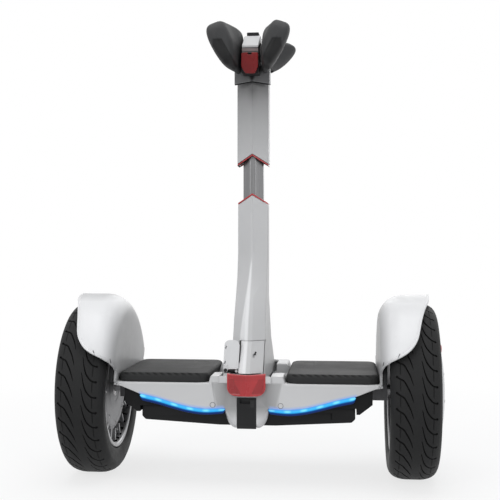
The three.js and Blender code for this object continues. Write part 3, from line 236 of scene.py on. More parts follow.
def tread_rubber(name):
    """Tyre rubber: painted shade in the grooves, a grey bloom and fine moulding lines on the side walls."""
    f = Finish(name)
    groove = f.attribute("groove")
    bloom = f.ranged(f.noise(38, 5, roughness=0.62), 0.42, 0.7)
    tint = f.mixed(bloom * 0.6, (0.0078, 0.008, 0.0083), (0.016, 0.0163, 0.0167))
    wall = f.attribute("wall")
    tint = f.mixed(wall * 0.55, tint, (0.007, 0.007, 0.0074))
    # Painted shade in the grooves and the fine rings near the shoulders.
    tint = f.mixed(groove, tint, (0.0012, 0.0012, 0.0013))
    grit = f.noise(1100, 4, roughness=0.65)
    dull = 0.6 + bloom * 0.1 + groove * 0.2 - wall * 0.05
    return f.shade(tint, dull, f.bump(grit, 0.35, 0.0003), Specular_IOR_Level=0.25)


def mat_rubber(name):
    """Soft rubber with a pebbled skin, greyer where shoes have stood, with painted shade in its nicks and
    grooves.
    """
    f = Finish(name)
    pebbles = f.cells(900, "SMOOTH_F1")
    worn = f.ranged(f.noise(16, 5, roughness=0.6), 0.4, 0.72)
    tint = f.mixed(worn * 0.5, (0.019, 0.0193, 0.0197), (0.030, 0.0304, 0.0308))
    tint = f.mixed(f.edges() * 0.3, tint, (0.05, 0.05, 0.051))
    # Painted shade in the nicks, ribs and runs.
    tint = f.mixed(f.attribute("groove"), tint, (0.003, 0.003, 0.003))
    return f.shade(tint, 0.62 + worn * 0.12, f.bump(pebbles, 0.3, 0.0003), Specular_IOR_Level=0.22)


def pad_skin(name):
    """Moulded skin over foam: fine leathery grain, the pressed panels smoother, and darker with painted
    shade.
    """
    f = Finish(name)
    panel = f.attribute("panel")
    wrinkles = f.cells(520, "SMOOTH_F1")
    grain = f.noise(1300, 3)
    cloud = f.ranged(f.noise(14, 4), 0.35, 0.7)
    tint = f.mixed(cloud * 0.5, (0.036, 0.0365, 0.0375), (0.050, 0.0505, 0.0515))
    # Painted shade on the pressed panels.
    tint = f.mixed(panel * 0.9, tint, (0.0055, 0.0056, 0.006))
    tint = f.mixed(f.edges() * 0.2, tint, (0.06, 0.06, 0.062))
    height = wrinkles * (1 - panel * 0.7) + grain * 0.4
    dull = 0.6 - panel * 0.06 + cloud * 0.08
    return f.shade(tint, dull, f.bump(height, 0.3, 0.0004), Specular_IOR_Level=0.25)


def red_lens(name, deep, bright, gloss, specular):
    """Clear red plastic over a red base: a deeper middle, cloudy flow marks and a glossy face, with painted
    shade on pressed facets and a painted highlight along the top.
    """
    f = Finish(name)
    flow = f.ranged(f.noise(26, 4, f.stretched((1, 1, 0.35))), 0.35, 0.65)
    facet = f.attribute("facet")
    tint = f.mixed(flow * 0.6, deep, bright)
    # Painted shade on the pressed facets.
    tint = f.mixed(facet * 0.75, tint, toned(deep, 0.45))
    tint = f.mixed(f.ranged(f.axis("Z"), 0.618, 0.594) * f.ranged(f.axis("Z"), 0.5, 0.55) * 0.6, tint,
                   toned(deep, 0.6))
    # A painted highlight in a band along the top of the foot cover.
    band = f.ranged(f.axis("Z"), 0.1585, 0.1605) * f.ranged(f.axis("Z"), 0.2, 0.19)
    tint = f.mixed(band * 0.35, tint, (0.72, 0.30, 0.30))
    tint = f.mixed(f.edges() * 0.5, tint, toned(bright, 1.5, 0.02))
    speck = f.cells(240)
    return f.shade(tint, 0.2 + flow * 0.12, f.bump(speck, 0.06, 0.0003), Coat_Weight=gloss,
                   Coat_Roughness=0.08, Specular_IOR_Level=specular)


def cast_silver(name, colour=(0.50, 0.50, 0.51), roughness=0.36):
    """Cast and turned aluminium: cloudy skin, dark specks and faint tool rings."""
    f = Finish(name)
    cloud = f.noise(55, 5, roughness=0.6)
    specks = f.ranged(f.noise(330, 3), 0.6, 0.72)
    tint = f.mixed(f.ranged(cloud, 0.35, 0.7), toned(colour, 0.72), colour)
    tint = f.mixed(specks * 0.4, tint, toned(colour, 0.3))
    tint = f.mixed(f.edges() * 0.5, tint, toned(colour, 1.35))
    tint = f.mixed(f.attribute("dish") * 0.9, tint, toned(colour, 0.06))
    dull = roughness + f.ranged(cloud, 0.3, 0.7) * 0.16
    return f.shade(tint, dull, f.bump(cloud + f.noise(700, 2) * 0.4, 0.2, 0.0005), Metallic=0.85)


def brushed_pole(name, colour):
    """Drawn tube: long fine scratches up its length."""
    f = Finish(name)
    lines = f.noise(14, 4, f.stretched((60, 60, 1.2)), 0.7)
    cloud = f.noise(20, 3)
    tint = f.mixed(f.ranged(lines, 0.3, 0.7), toned(colour, 0.75), colour)
    tint = f.mixed(f.edges() * 0.4, tint, toned(colour, 1.4))
    dull = 0.26 + f.ranged(lines, 0.3, 0.7) * 0.16 + cloud * 0.06
    return f.shade(tint, dull, f.bump(lines, 0.12, 0.0002), Metallic=0.9)


def turned_steel(name, along="X"):
    """Turned bar: rings across its length, with oil darkened patches."""
    f = Finish(name)
    rings = f.noise(1, 3, f.stretched({"X": (1400, 40, 40), "Y": (40, 1400, 40)}[along]))
    oil = f.ranged(f.noise(70, 4), 0.52, 0.7)
    bright = (0.46, 0.46, 0.47)
    tint = f.mixed(f.ranged(rings, 0.3, 0.7), toned(bright, 0.7), bright)
    tint = f.mixed(oil * 0.5, tint, (0.16, 0.14, 0.12))
    return f.shade(tint, 0.24 + rings * 0.14 + oil * 0.12, f.bump(rings, 0.15, 0.0002), Metallic=1.0)


def light_strip(name):
    """A lit strip: pale hot spots over its upper edge and deep blue along the bottom."""
    f = Finish(name)
    uv = f.add("ShaderNodeTexCoord", output="UV")
    along, up = f.axis("X", uv), f.axis("Y", uv)
    waver = f.noise(90, 3) * 0.05
    pitch, first = 0.0227, 0.0349
    beat = f.add("ShaderNodeMath", {"operation": "COSINE"},
                 {0: (f.size(f.axis("X")) - first) * (2 * math.pi / pitch)})
    stops = [(0.0, (0.001, 0.012, 0.08)), (0.16, (0.001, 0.02, 0.13)), (0.27, (0.004, 0.06, 0.26)),
             (0.37, (0.02, 0.40, 0.88)), (0.52, (0.06, 0.55, 0.98)), (0.66, (0.07, 0.40, 0.90)),
             (0.786, (0.13, 0.34, 0.80))]
    glow = f.ramp(up + waver - 0.025, stops)
    middle = f.ranged(up, 0.34, 0.48) * f.ranged(up, 0.72, 0.56)
    glow = f.mixed(f.ranged(beat, -0.1, 0.95) * middle * 0.95, glow, (0.24, 0.86, 1.0))
    inner = f.ranged(along, 0.14, 0.02) * f.ranged(up, 0.4, 0.7)
    glow = f.mixed(inner * 0.7, glow, (0.10, 0.12, 0.50))
    ribs = f.waves(90.0, 0.6)
    return f.shade((0.001, 0.006, 0.03), 0.3 + waver, f.bump(ribs, 0.15, 0.0003), Emission_Color=glow,
                   Emission_Strength=1.0, Specular_IOR_Level=0.15)


def clear_lens(name):
    """Pale lamp lens with upright flutes and a milky body."""
    f = Finish(name)
    flutes = f.waves(160.0, 0.0)
    milk = f.ranged(f.noise(80, 3), 0.3, 0.7)
    tint = f.mixed(milk * 0.5, (0.78, 0.82, 0.86), (0.90, 0.93, 0.95))
    tint = f.mixed(flutes * 0.35, tint, (0.50, 0.55, 0.60))
    return f.shade(tint, 0.12 + milk * 0.08, f.bump(flutes, 0.6, 0.0006), Coat_Weight=0.6)


def wound_copper(name):
    """Copper wire over a laminated core: lamination lines along the axle, bright wire between."""
    f = Finish(name)
    plates = f.waves(320.0, 0.3, "SAW")
    wire = f.noise(320, 4, f.stretched((0.2, 1, 1)))
    tint = f.mixed(f.ranged(wire, 0.4, 0.6), (0.30, 0.10, 0.035), (0.55, 0.25, 0.10))
    tint = f.mixed(f.ranged(plates, 0.7, 1.0) * 0.5, tint, (0.08, 0.08, 0.085))
    return f.shade(tint, 0.3 + wire * 0.15, f.bump(plates + wire, 0.4, 0.0003), Metallic=0.9)


def board_green(name):
    """Lacquered circuit board with copper runs under the lacquer and pale pads."""
    f = Finish(name)
    runs = f.add("ShaderNodeTexBrick", {"offset": 0.5},
                 {"Vector": f.place, "Scale": 110.0, "Mortar Size": 0.06, "Brick Width": 0.9}, "Fac")
    pads = f.ranged(f.cells(420), 0.22, 0.12)
    tint = f.mixed(f.noise(60, 3), (0.010, 0.080, 0.028), (0.018, 0.125, 0.045))
    tint = f.mixed(runs, tint, (0.03, 0.20, 0.07))
    tint = f.mixed(pads * 0.7, tint, (0.55, 0.52, 0.42))
    return f.shade(tint, 0.3 + runs * 0.2, f.bump(runs + pads, 0.4, 0.0002), Coat_Weight=0.4)


def cell_wrap(name):
    """Shrink wrap drawn over cells: creases down the flutes and a soft sheen."""
    f = Finish(name)
    creases = f.noise(90, 5, f.stretched((1, 1, 3)), 0.65)
    tint = f.mixed(f.ranged(creases, 0.35, 0.7), (0.035, 0.10, 0.32), (0.07, 0.17, 0.45))
    tint = f.mixed(f.edges() * 0.6, tint, (0.25, 0.35, 0.60))
    return f.shade(tint, 0.3 + creases * 0.2, f.bump(creases, 0.5, 0.0008))


def gloss_black(name):
    """A clear black window: smooth, with a few hairline scratches."""
    f = Finish(name)
    hairs = f.ranged(f.noise(40, 6, f.stretched((1, 6, 1)), 0.8), 0.62, 0.8)
    tint = f.mixed(hairs * 0.25, (0.006, 0.006, 0.007), (0.04, 0.04, 0.045))
    return f.shade(tint, 0.08 + hairs * 0.15, f.bump(hairs, 0.1, 0.0001), Coat_Weight=0.6)


def stem_highlight(f):
    """Painted highlight: the pale facet that widens down the rear of the column, left of its middle."""
    down = f.ranged(f.axis("Z"), 0.327, 0.212)
    away = f.size(f.axis("X") + down * 0.0064 + 0.0002) - down * 0.0056
    return f.ranged(away, 0.0012, -0.0008) * f.ranged(down, 0.0, 0.12)


def sleeve_shade(f):
    """Painted shade: darker towards the collar, most of all along the ridge in the middle."""
    up = f.ranged(f.axis("Z"), 0.47, 0.59)
    high = f.grey_ramp(up, [(0.0, 0.0), (0.4, 0.24), (0.63, 0.46), (0.72, 0.56), (0.86, 0.86), (1.0, 1.0)])
    ridge = f.ranged(f.size(f.axis("X")), 0.009, 0.0) * f.ranged(up, 0.6, 1.0)
    return high + ridge * 0.3


def deck_shade(f):
    """Painted shade, deeper inside the crease that runs down from the hump to the keel, at both ends of the
    deck.
    """
    across, up = f.size(f.axis("X")), f.axis("Z")
    inside = f.ranged(across - up * 0.21, 0.0200, 0.0165)
    deeper = f.ranged(across, 0.046, 0.028)
    ends = f.ranged(f.size(f.axis("Y")), 0.0850, 0.0868)
    tall = f.ranged(up, 0.096, 0.114) * f.ranged(up, 0.1482, 0.1455)
    return inside * (0.42 + deeper * 0.36) * tall * ends


def strip_spill(f):
    """Blue light on the deck's face, just above the light strips."""
    along = (f.size(f.axis("X")) - LIGHT_IN * MM) * (1 / ((LIGHT_OUT - LIGHT_IN) * MM))
    rise = f.grey_ramp(along, list(zip(LIGHT_ACROSS, LIGHT_UP)))
    above = f.axis("Z") - rise * (LIGHT_RISE * MM) - (AXLE - LIGHT_RISE) * MM
    strip = f.ranged(above, 0.0068, 0.0030) * f.ranged(along, 0.0, 0.03) * f.ranged(along, 1.02, 1.0)
    return strip * f.ranged(f.axis("Y"), -0.0865, -0.0872) * 0.8


def wall_shade(f):
    """Painted shade on the upright inner wall of a fender, under its crown, and painted shade that greys the
    top of the crown.
    """
    crown = f.ranged(f.axis("Z"), 0.240, 0.265) * 0.06 + f.ranged(f.axis("Z"), 0.2585, 0.2672) * 0.42
    return f.attribute("wall") * (0.62 + f.ranged(f.axis("Y"), 0.06, -0.03) * 0.18) + crown


FINISHES = {
    # The deck, fender and column paints are the white casing in other tones: paler on the fenders as painted
    # light, darker on the column and a little on the deck as painted shade.
    "white": casing_paint("white casing", (0.60, 0.60, 0.605)),
    "deck white": casing_paint("deck paint", (0.58, 0.58, 0.583), 0.36, deck_shade, 0.3, strip_spill),
    "fender white": casing_paint("fender paint", (0.76, 0.76, 0.765), 0.36, wall_shade),
    "stem white": casing_paint("column paint", (0.52, 0.52, 0.523), 0.36, stem_highlight, 1.4),
    "sleeve": casing_paint("sleeve paint", (0.47, 0.47, 0.473), 0.38, sleeve_shade, 0.2),
    "casting": cast_paint("black casting", (0.003, 0.0031, 0.0035)),
    "black": grained_plastic("black plastic", (0.011, 0.0112, 0.012)),
    "battery": grained_plastic("battery plastic", (0.0052, 0.0053, 0.0058), 0.55, 1200, 0.35),
    "collar black": grained_plastic("collar plastic", (0.12, 0.12, 0.122), 0.42, 1700, 0.2),
    "lip": grained_plastic("lip plastic", (0.15, 0.125, 0.125), 0.5, 1700, 0.2),
    "tyre": tread_rubber("tread rubber"),
    "mat": mat_rubber("mat rubber"),
    "pad": pad_skin("pad skin"),
    "red": red_lens("red cover", (0.31, 0.012, 0.016), (0.50, 0.035, 0.04), 0.2, 0.4),
    "red trim": red_lens("red trim", (0.30, 0.012, 0.018), (0.46, 0.03, 0.034), 0.2, 0.4),
    "red trigger": red_lens("red trigger", (0.15, 0.006, 0.008), (0.30, 0.014, 0.015), 0.08, 0.2),
    "silver": cast_silver("cast silver"),
    "rim": cast_silver("rim silver", (0.46, 0.46, 0.47), 0.3),
    "disc": cast_silver("turned disc", (0.36, 0.36, 0.37), 0.45),
    "clamp": cast_silver("clamp silver", (0.13, 0.13, 0.135), 0.45),
    "pole": brushed_pole("drawn pole", (0.235, 0.235, 0.24)),
    "steel": turned_steel("turned steel"),
    "steel along": turned_steel("shaft steel", "Y"),
    "light": light_strip("blue light"),
    "lens": clear_lens("lamp lens"),
    "copper": wound_copper("wound copper"),
    "board": board_green("circuit board"),
    "cells": cell_wrap("cell wrap"),
    "gloss": gloss_black("black window"),
}


# ---------------------------------------------------------------- making meshes
def blend(low, high, share):
    """The value at a share of the way between two."""
    return low + (high - low) * share


def along_table(shares, values, share):
    """A smooth reading of a table at a share between its first and last entries."""
    share = min(max(share, shares[0]), shares[-1])
    i = max(k for k in range(len(shares) - 1) if shares[k] <= share)
    t = (share - shares[i]) / (shares[i + 1] - shares[i])

    def slope(k):
        a, b = max(k - 1, 0), min(k + 1, len(shares) - 1)
        return (values[b] - values[a]) / (shares[b] - shares[a])

    span = shares[i + 1] - shares[i]
    m0, m1 = slope(i) * span, slope(i + 1) * span
    v0, v1 = values[i], values[i + 1]
    return ((2 * t ** 3 - 3 * t ** 2 + 1) * v0 + (t ** 3 - 2 * t ** 2 + t) * m0
            + (3 * t ** 2 - 2 * t ** 3) * v1 + (t ** 3 - t ** 2) * m1)


def quads(rows, count, closed=False, loop=False):
    """Faces of a grid of points, given row by row; loop joins the last row to the first."""
    faces = []
    across = count if closed else count - 1
    for r in range(rows if loop else rows - 1):
        for c in range(across):
            a, b = r * count + c, r * count + (c + 1) % count
            up = ((r + 1) % rows) * count
            faces.append((a, b, up + (c + 1) % count, up + c))
    return faces


def linked(name, data):
    """An object in the scene for a mesh, a lamp or a camera."""
    thing = bpy.data.objects.new(name, data)
    bpy.context.scene.collection.objects.link(thing)
    return thing


def cleaned(mesh, source, flat=0.0):
    """Writes the source into the mesh, merged, facing outward and without seams under flat degrees."""
    bm = bmesh.new()
    bm.from_mesh(source)
    bmesh.ops.remove_doubles(bm, verts=bm.verts, dist=2e-6)
    if flat:
        bmesh.ops.dissolve_limit(bm, angle_limit=math.radians(flat), verts=bm.verts, edges=bm.edges)
    bmesh.ops.recalc_face_normals(bm, faces=bm.faces)
    bm.to_mesh(mesh)
    bm.free()


def new_object(name, points, faces, finish, floats=None, uvs=None):
    """A mesh object from points in millimetres; floats and uvs hold a value for each point."""
    mesh = bpy.data.meshes.new(name)
    mesh.from_pydata([Vector(p) * MM for p in points], [], faces)
    for key, values in (floats or {}).items():
        mesh.attributes.new(key, "FLOAT", "POINT").data.foreach_set("value", values)
    if uvs:
        layer = mesh.uv_layers.new(name="along")
        for loop in mesh.loops:
            layer.data[loop.index].uv = uvs[loop.vertex_index]
    cleaned(mesh, mesh)
    mesh.materials.append(FINISHES[finish])
    return linked(name, mesh)


def plate(name, front, back, count, finish, floats=None):
    """A closed plate between two grids of points, given row by row with count points in a row."""
    base = len(front)
    last = base - count
    border = [*range(count), *range(2 * count - 1, base, count), *range(base - 2, last - 1, -1),
              *range(last - count, 0, -count)]
    faces = quads(base // count, count)
    faces += [tuple(base + i for i in face) for face in faces]
    faces += [(a, b, base + b, base + a) for a, b in zip(border, border[1:] + border[:1])]
    return new_object(name, front + back, faces, finish, floats)


def applied(thing):
    """Turns an object with modifiers into one plain mesh."""
    graph = bpy.context.evaluated_depsgraph_get()
    graph.update()
    mesh = bpy.data.meshes.new_from_object(thing.evaluated_get(graph), depsgraph=graph)
    old = thing.data
    thing.modifiers.clear()
    thing.data = mesh
    mesh.name = thing.name
    if old.users == 0:
        bpy.data.meshes.remove(old)
    return thing


def smooth(thing, angle):
    """Smooth shading up to an angle in degrees between faces."""
    thing.data.shade_smooth()
    thing.data.set_sharp_from_angle(angle=math.radians(angle))
    return thing


def bevelled(thing, width, segments=3, weighted=False):
    """Rounds the hard edges, or those with a weight, and lays the normals for it."""
    bevel = thing.modifiers.new("rounding", "BEVEL")
    bevel.width = width * MM
    bevel.segments = segments
    bevel.limit_method = "WEIGHT" if weighted else "ANGLE"
    bevel.angle_limit = math.radians(28)
    bevel.use_clamp_overlap = not weighted
    bevel.harden_normals = False
    applied(thing)
    smooth(thing, 40)
    normals = thing.modifiers.new("flat faces first", "WEIGHTED_NORMAL")
    normals.keep_sharp = True
    return applied(thing)


def joined(name, *things):
    """Several finished objects as one."""
    bm = bmesh.new()
    materials = []
    for thing in things:
        for material in thing.data.materials:
            if material not in materials:
                materials.append(material)
    for thing in things:
        start = len(bm.faces)
        bm.from_mesh(thing.data)
        bm.faces.ensure_lookup_table()
        for face in bm.faces[start:]:
            face.material_index = materials.index(thing.data.materials[face.material_index])
    mesh = bpy.data.meshes.new(name)
    bm.to_mesh(mesh)
    bm.free()
    for material in materials:
        mesh.materials.append(material)
    whole = linked(name, mesh)
    for thing in things:
        bpy.data.objects.remove(thing)
    return whole


def place(thing, body, slot, *nodes):
    """Gives a finished piece its body and hides the solids that it stands for. The slot is not used."""
    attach(thing, body)
    if nodes:
        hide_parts(*nodes)
    return thing


def copied(node, finish):
    """A clean copy of a CAD node: merged, without the seams of its flat faces."""
    mesh = bpy.data.meshes.new(node + " shell")
    cleaned(mesh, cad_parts[node].data, 0.6)
    mesh.materials.append(FINISHES[finish])
    return linked(node + ".skin", mesh)


def eased(thing, width, weigh, segments=3):
    """Rounds the hard edges by a share of the width; weigh(a, b) gives the share of each edge."""
    bm = bmesh.new()
    bm.from_mesh(thing.data)
    layer = bm.edges.layers.float.new("bevel_weight_edge")
    for edge in bm.edges:
        if len(edge.link_faces) == 2 and edge.calc_face_angle(0) > math.radians(25):
            edge[layer] = weigh(*(v.co / MM for v in edge.verts))
    bm.to_mesh(thing.data)
    bm.free()
    return bevelled(thing, width, segments, weighted=True)


def softened(node, body, finish, slot, width, segments=3):
    """A copy of a CAD node with all its hard edges rounded alike."""
    return place(bevelled(copied(node, finish), width, segments), body, slot, node)


def painted_underside_shade(thing):
    """Painted shade: the faces that look down take the black casting finish."""
    thing.data.materials.append(FINISHES["casting"])
    for face in thing.data.polygons:
        if face.normal.z < -0.6:
            face.material_index = 1
    return thing


def shifted(thing, move):
    """A finished piece with its mesh moved by millimetres."""
    thing.data.transform(Matrix.Translation(Vector(move) * MM))
    return thing


def carried(finish, *nodes):
    """Gives CAD nodes that show as they are a finish of their own."""
    for node in nodes:
        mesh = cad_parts[node].data
        mesh.materials.clear()
        mesh.materials.append(FINISHES[finish])


def drilled(thing, *cutters):
    """Cuts closed shapes out of a piece."""
    for cutter in cutters:
        cut = thing.modifiers.new("hole", "BOOLEAN")
        cut.object = cutter
        cut.operation = "DIFFERENCE"
        cut.solver = "EXACT"
        applied(thing)
        bpy.data.objects.remove(cutter)
    return thing


# ---------------------------------------------------------------- turned and cut blanks
def rounded(points, radius, steps, closed=True):
    """The corners of a profile cut round, each as far as its sides allow."""
    count = len(points)
    out = []
    for i, (a, b) in enumerate(points):
        if not closed and i in (0, count - 1):
            out.append((a, b))
            continue
        here = Vector((a, b))
        before = Vector(points[i - 1]) - here
        after = Vector(points[(i + 1) % count]) - here
        turn = before.angle(after, math.pi)
        if turn > math.radians(168) or min(before.length, after.length) < 0.2:
            out.append((a, b))
            continue
        reach = min(radius / math.tan(turn / 2), before.length * 0.45, after.length * 0.45)
        start, end = here + before.normalized() * reach, here + after.normalized() * reach
        for k in range(steps + 1):
            t = k / steps
            out.append(tuple((1 - t) ** 2 * start + 2 * t * (1 - t) * here + t ** 2 * end))
    return out


def lathe(name, profile, side, finish, steps, closed=True, floats=None):
    """A profile of (radius, distance out from the wheel's middle) turned round the wheel axis."""
    points = []
    for s in range(steps):
        angle = 2 * math.pi * s / steps
        for radius, out in profile:
            x = side * (HALF_TRACK + out)
            points.append((x, radius * math.sin(angle), AXLE + radius * math.cos(angle)))
    faces = quads(steps, len(profile), closed, loop=True)
    return smooth(new_object(name, points, faces, finish, floats), 30)


def rod(name, radius, start, end, finish="black", steps=24, chamfer=0.0):
    """A round bar between two points, with its ends eased."""
    start, end = Vector(start), Vector(end)
    axis = (end - start).normalized()
    turn = axis.to_track_quat("Z", "Y").to_matrix()
    reach = (end - start).length
    ends = [(chamfer, radius), (reach - chamfer, radius)]
    if chamfer:
        ends = [(0.0, radius - chamfer), *ends, (reach, radius - chamfer)]
    points = []
    for up, size in ends:
        for s in range(steps):
            angle = 2 * math.pi * s / steps
            points.append(start + turn @ Vector((size * math.cos(angle), size * math.sin(angle), up)))
    faces = quads(len(ends), steps, closed=True)
    faces.append(tuple(range(steps)))
    faces.append(tuple(range((len(ends) - 1) * steps, len(ends) * steps)))
    return smooth(new_object(name, points, faces, finish), 35)


def slab(name, outline, span, axis, finish):
    """A flat outline given a thickness along X, Y or Z."""
    order = {"X": (2, 0, 1), "Y": (0, 2, 1), "Z": (0, 1, 2)}[axis]
    points = [tuple((a, b, d)[i] for i in order) for d in span for a, b in outline]
    count = len(outline)
    faces = quads(2, count, closed=True)
    faces += [tuple(range(count)), tuple(range(count, 2 * count))]
    return new_object(name, points, faces, finish)


def box(name, across, along, up, finish="black"):
    """A block between two places on each axis, as a blank for cuts and small parts."""
    corners = [(across[0], along[0]), (across[1], along[0]), (across[1], along[1]), (across[0], along[1])]
    return slab(name, corners, up, "Z", finish)


def oval(width, height, corner):
    """A rounded rectangle round the origin as an outline."""
    out, steps = [], 6
    for k, (sx, sy) in enumerate([(1, 1), (-1, 1), (-1, -1), (1, -1)]):
        for s in range(steps + 1):
            angle = math.radians(90 * k + 90 * s / steps)
            out.append((sx * (width / 2 - corner) + corner * math.cos(angle),
                        sy * (height / 2 - corner) + corner * math.sin(angle)))
    return out


# ---------------------------------------------------------------- repeats and beads
def tree_with(name, inputs):
    """An empty geometry tree with named inputs."""
    tree = bpy.data.node_groups.new(name, "GeometryNodeTree")
    tree.interface.new_socket("Geometry", in_out="INPUT", socket_type="NodeSocketGeometry")
    for label, kind in inputs:
        tree.interface.new_socket(label, in_out="INPUT", socket_type=kind)
    tree.interface.new_socket("Geometry", in_out="OUTPUT", socket_type="NodeSocketGeometry")
    graph = Graph(tree)
    group = tree.nodes.new("NodeGroupInput")
    return tree, graph, {label: Socket(graph, group.outputs[label]) for label in
                         ["Geometry", *(label for label, _ in inputs)]}


def repeat_tree():
    """Copies of a piece round an axis, each turned on from the one before, welded into one."""
    tree, g, given = tree_with("repeated", [
        ("Count", "NodeSocketInt"), ("Centre", "NodeSocketVector"), ("Axis", "NodeSocketVector"),
        ("Step", "NodeSocketFloat"), ("Weld", "NodeSocketFloat"), ("Finish", "NodeSocketMaterial")])
    index = g.add("GeometryNodeInputIndex")
    spots = g.add("GeometryNodePoints", None, {"Count": given["Count"], "Position": given["Centre"]})
    angle = index * given["Step"]
    turn = g.add("FunctionNodeAxisAngleToRotation", None, {"Axis": given["Axis"], "Angle": angle})
    copies = g.add("GeometryNodeInstanceOnPoints", None,
                   {"Points": spots, "Instance": given["Geometry"], "Rotation": turn})
    real = g.add("GeometryNodeRealizeInstances", None, {0: copies})
    whole = g.add("GeometryNodeMergeByDistance", None, {"Geometry": real, "Distance": given["Weld"]})
    done = g.add("GeometryNodeSetMaterial", None, {"Geometry": whole, "Material": given["Finish"]})
    g.add("NodeGroupOutput", None, {"Geometry": done})
    return tree


def bead_tree():
    """A round bead along the edges of a path."""
    tree, g, given = tree_with("bead", [("Radius", "NodeSocketFloat"), ("Sides", "NodeSocketInt"),
                                        ("Finish", "NodeSocketMaterial")])
    path = g.add("GeometryNodeMeshToCurve", None, {"Mesh": given["Geometry"]})
    ring = g.add("GeometryNodeCurvePrimitiveCircle", None,
                 {"Resolution": given["Sides"], "Radius": given["Radius"]})
    tube = g.add("GeometryNodeCurveToMesh", None, {"Curve": path, "Profile Curve": ring, "Fill Caps": True})
    done = g.add("GeometryNodeSetMaterial", None, {"Geometry": tube, "Material": given["Finish"]})
    g.add("NodeGroupOutput", None, {"Geometry": done})
    return tree


REPEAT = repeat_tree()
BEAD = bead_tree()


def run_tree(thing, tree, values):
    """Runs a geometry tree on a piece, its named inputs set by identifier."""
    grown = thing.modifiers.new("grown", "NODES")
    grown.node_group = tree
    for item in tree.interface.items_tree:
        if item.in_out == "INPUT" and item.name in values:
            grown[item.identifier] = values[item.name]
    return applied(thing)


def repeated(thing, count, centre, weld=0.0):
    """Repeats a piece that is modelled round the origin all the way round the wheel axis."""
    values = {"Count": count, "Centre": tuple(c * MM for c in centre), "Axis": (1, 0, 0),
              "Step": 2 * math.pi / count, "Weld": weld * MM, "Finish": thing.data.materials[0]}
    return run_tree(thing, REPEAT, values)


def bead(name, path, radius, finish, sides=8, closed=False):
    """A round bead laid along a path in millimetres."""
    mesh = bpy.data.meshes.new(name)
    edges = [(i, i + 1) for i in range(len(path) - 1)] + ([(len(path) - 1, 0)] if closed else [])
    mesh.from_pydata([Vector(p) * MM for p in path], edges, [])
    thing = linked(name, mesh)
    run_tree(thing, BEAD, {"Radius": radius * MM, "Sides": sides, "Finish": FINISHES[finish]})
    return smooth(thing, 60)


def screw_head(name, radius, finish, facing):
    """A countersunk button head with a socket, at the origin and looking along an axis."""
    profile = [(0, 0.3), (radius * 0.42, 0.3), (radius * 0.42, 1.0), (radius * 0.62, 1.15),
               (radius * 0.88, 0.85), (radius, 0.2), (radius, -0.4), (0, -0.4)]
    steps = 24
    points = []
    for s in range(steps):
        angle = 2 * math.pi * s / steps
        hexagon = 0.5 * radius * math.cos(math.pi / 6) / math.cos((angle % (math.pi / 3)) - math.pi / 6)
        for k, (r, up) in enumerate(profile):
            r = hexagon if k in (1, 2) else r
            points.append(Vector((r * math.cos(angle), r * math.sin(angle), up)))
    turn = Vector(facing).to_track_quat("Z", "Y").to_matrix()
    faces = quads(steps, len(profile), closed=False, loop=True)
    return smooth(new_object(name, [turn @ p for p in points], faces, finish), 30)


# ---------------------------------------------------------------- tyres
PITCHES = 36
GROOVE_DEPTH = 2.2
GROOVE_END = 26.6
END_ROUND = 1.6
SHOULDER_RING = (21.3, 22.7)
RING_DEPTH = 0.45
WALL_LINES = (112.5, 97.0)
WALL_TOP = 119
TYRE_PROFILE = [(0, 128), (10.2, 128), (16, 127.5), (22, 126), (26.5, 124), (30.1, 121.4), (32.8, 118),
                (34.3, 114.8), (34.9, 110.5), (35, 106), (34.6, 101), (33.9, 98), (32.4, 94.6), (31, 92.7),
                (27.1, 91.4), (26.95, 84)]
GROOVE_PATH = [(-40, -59.3), (-27, -59.1), (-23.2, -56.3), (-17.3, -52.5), (-12.9, -45.1), (-9.2, -37.8),
               (-6.5, -30.2), (-4.9, -24.9), (0, -19.3), (6.5, -13.7), (7.5, -10.6), (9, -3.2), (10.8, 3.7),
               (13.5, 10.8), (16.2, 15), (19.4, 18.7), (22.1, 20.6), (25.7, 21.6), (27, 21.6), (40, 21.6)]


def groove_shape(v):
    """Half width and depth of the groove at a distance across the tread."""
    size = abs(v)
    start = 4.7 if v < 0 else 6.2
    run = min(max((size - start) / 2.5, 0), 1)
    width = blend(0.36, 0.92, min(max((size - start) / 6, 0), 1))
    beyond = size - GROOVE_END
    if beyond > -END_ROUND:
        width = max(math.sqrt(max(END_ROUND ** 2 - beyond ** 2, 0)), width if beyond < 0 else 0.15)
    depth = GROOVE_DEPTH * run * min(max((GROOVE_END + 1.7 - size) / 0.5, 0), 1)
    return width, depth


def tread_rows():
    """Points across the tyre from bead to bead: (v, radius)."""
    half = []
    for (v0, r0), (v1, r1) in zip(TYRE_PROFILE, TYRE_PROFILE[1:]):
        steps = max(1, round(math.hypot(v1 - v0, r1 - r0) / (1.05 if v0 < 29 else 2.4)))
        half += [(blend(v0, v1, k / steps), blend(r0, r1, k / steps)) for k in range(steps)]
    half.append(TYRE_PROFILE[-1])
    for extra in (21.2, 21.55, 22.45, 22.8):
        radius = blend(126, 124, (extra - 22) / 4.5) if extra > 22 else blend(127.5, 126, (extra - 16) / 6)
        half.append((extra, radius))
    head = sorted((p for p in half if p[0] < 29 and p[1] > 120), key=lambda p: p[0])
    tail = [p for p in half if p not in head]
    half = head + tail
    return [(-v, r) for v, r in half[:0:-1]] + half


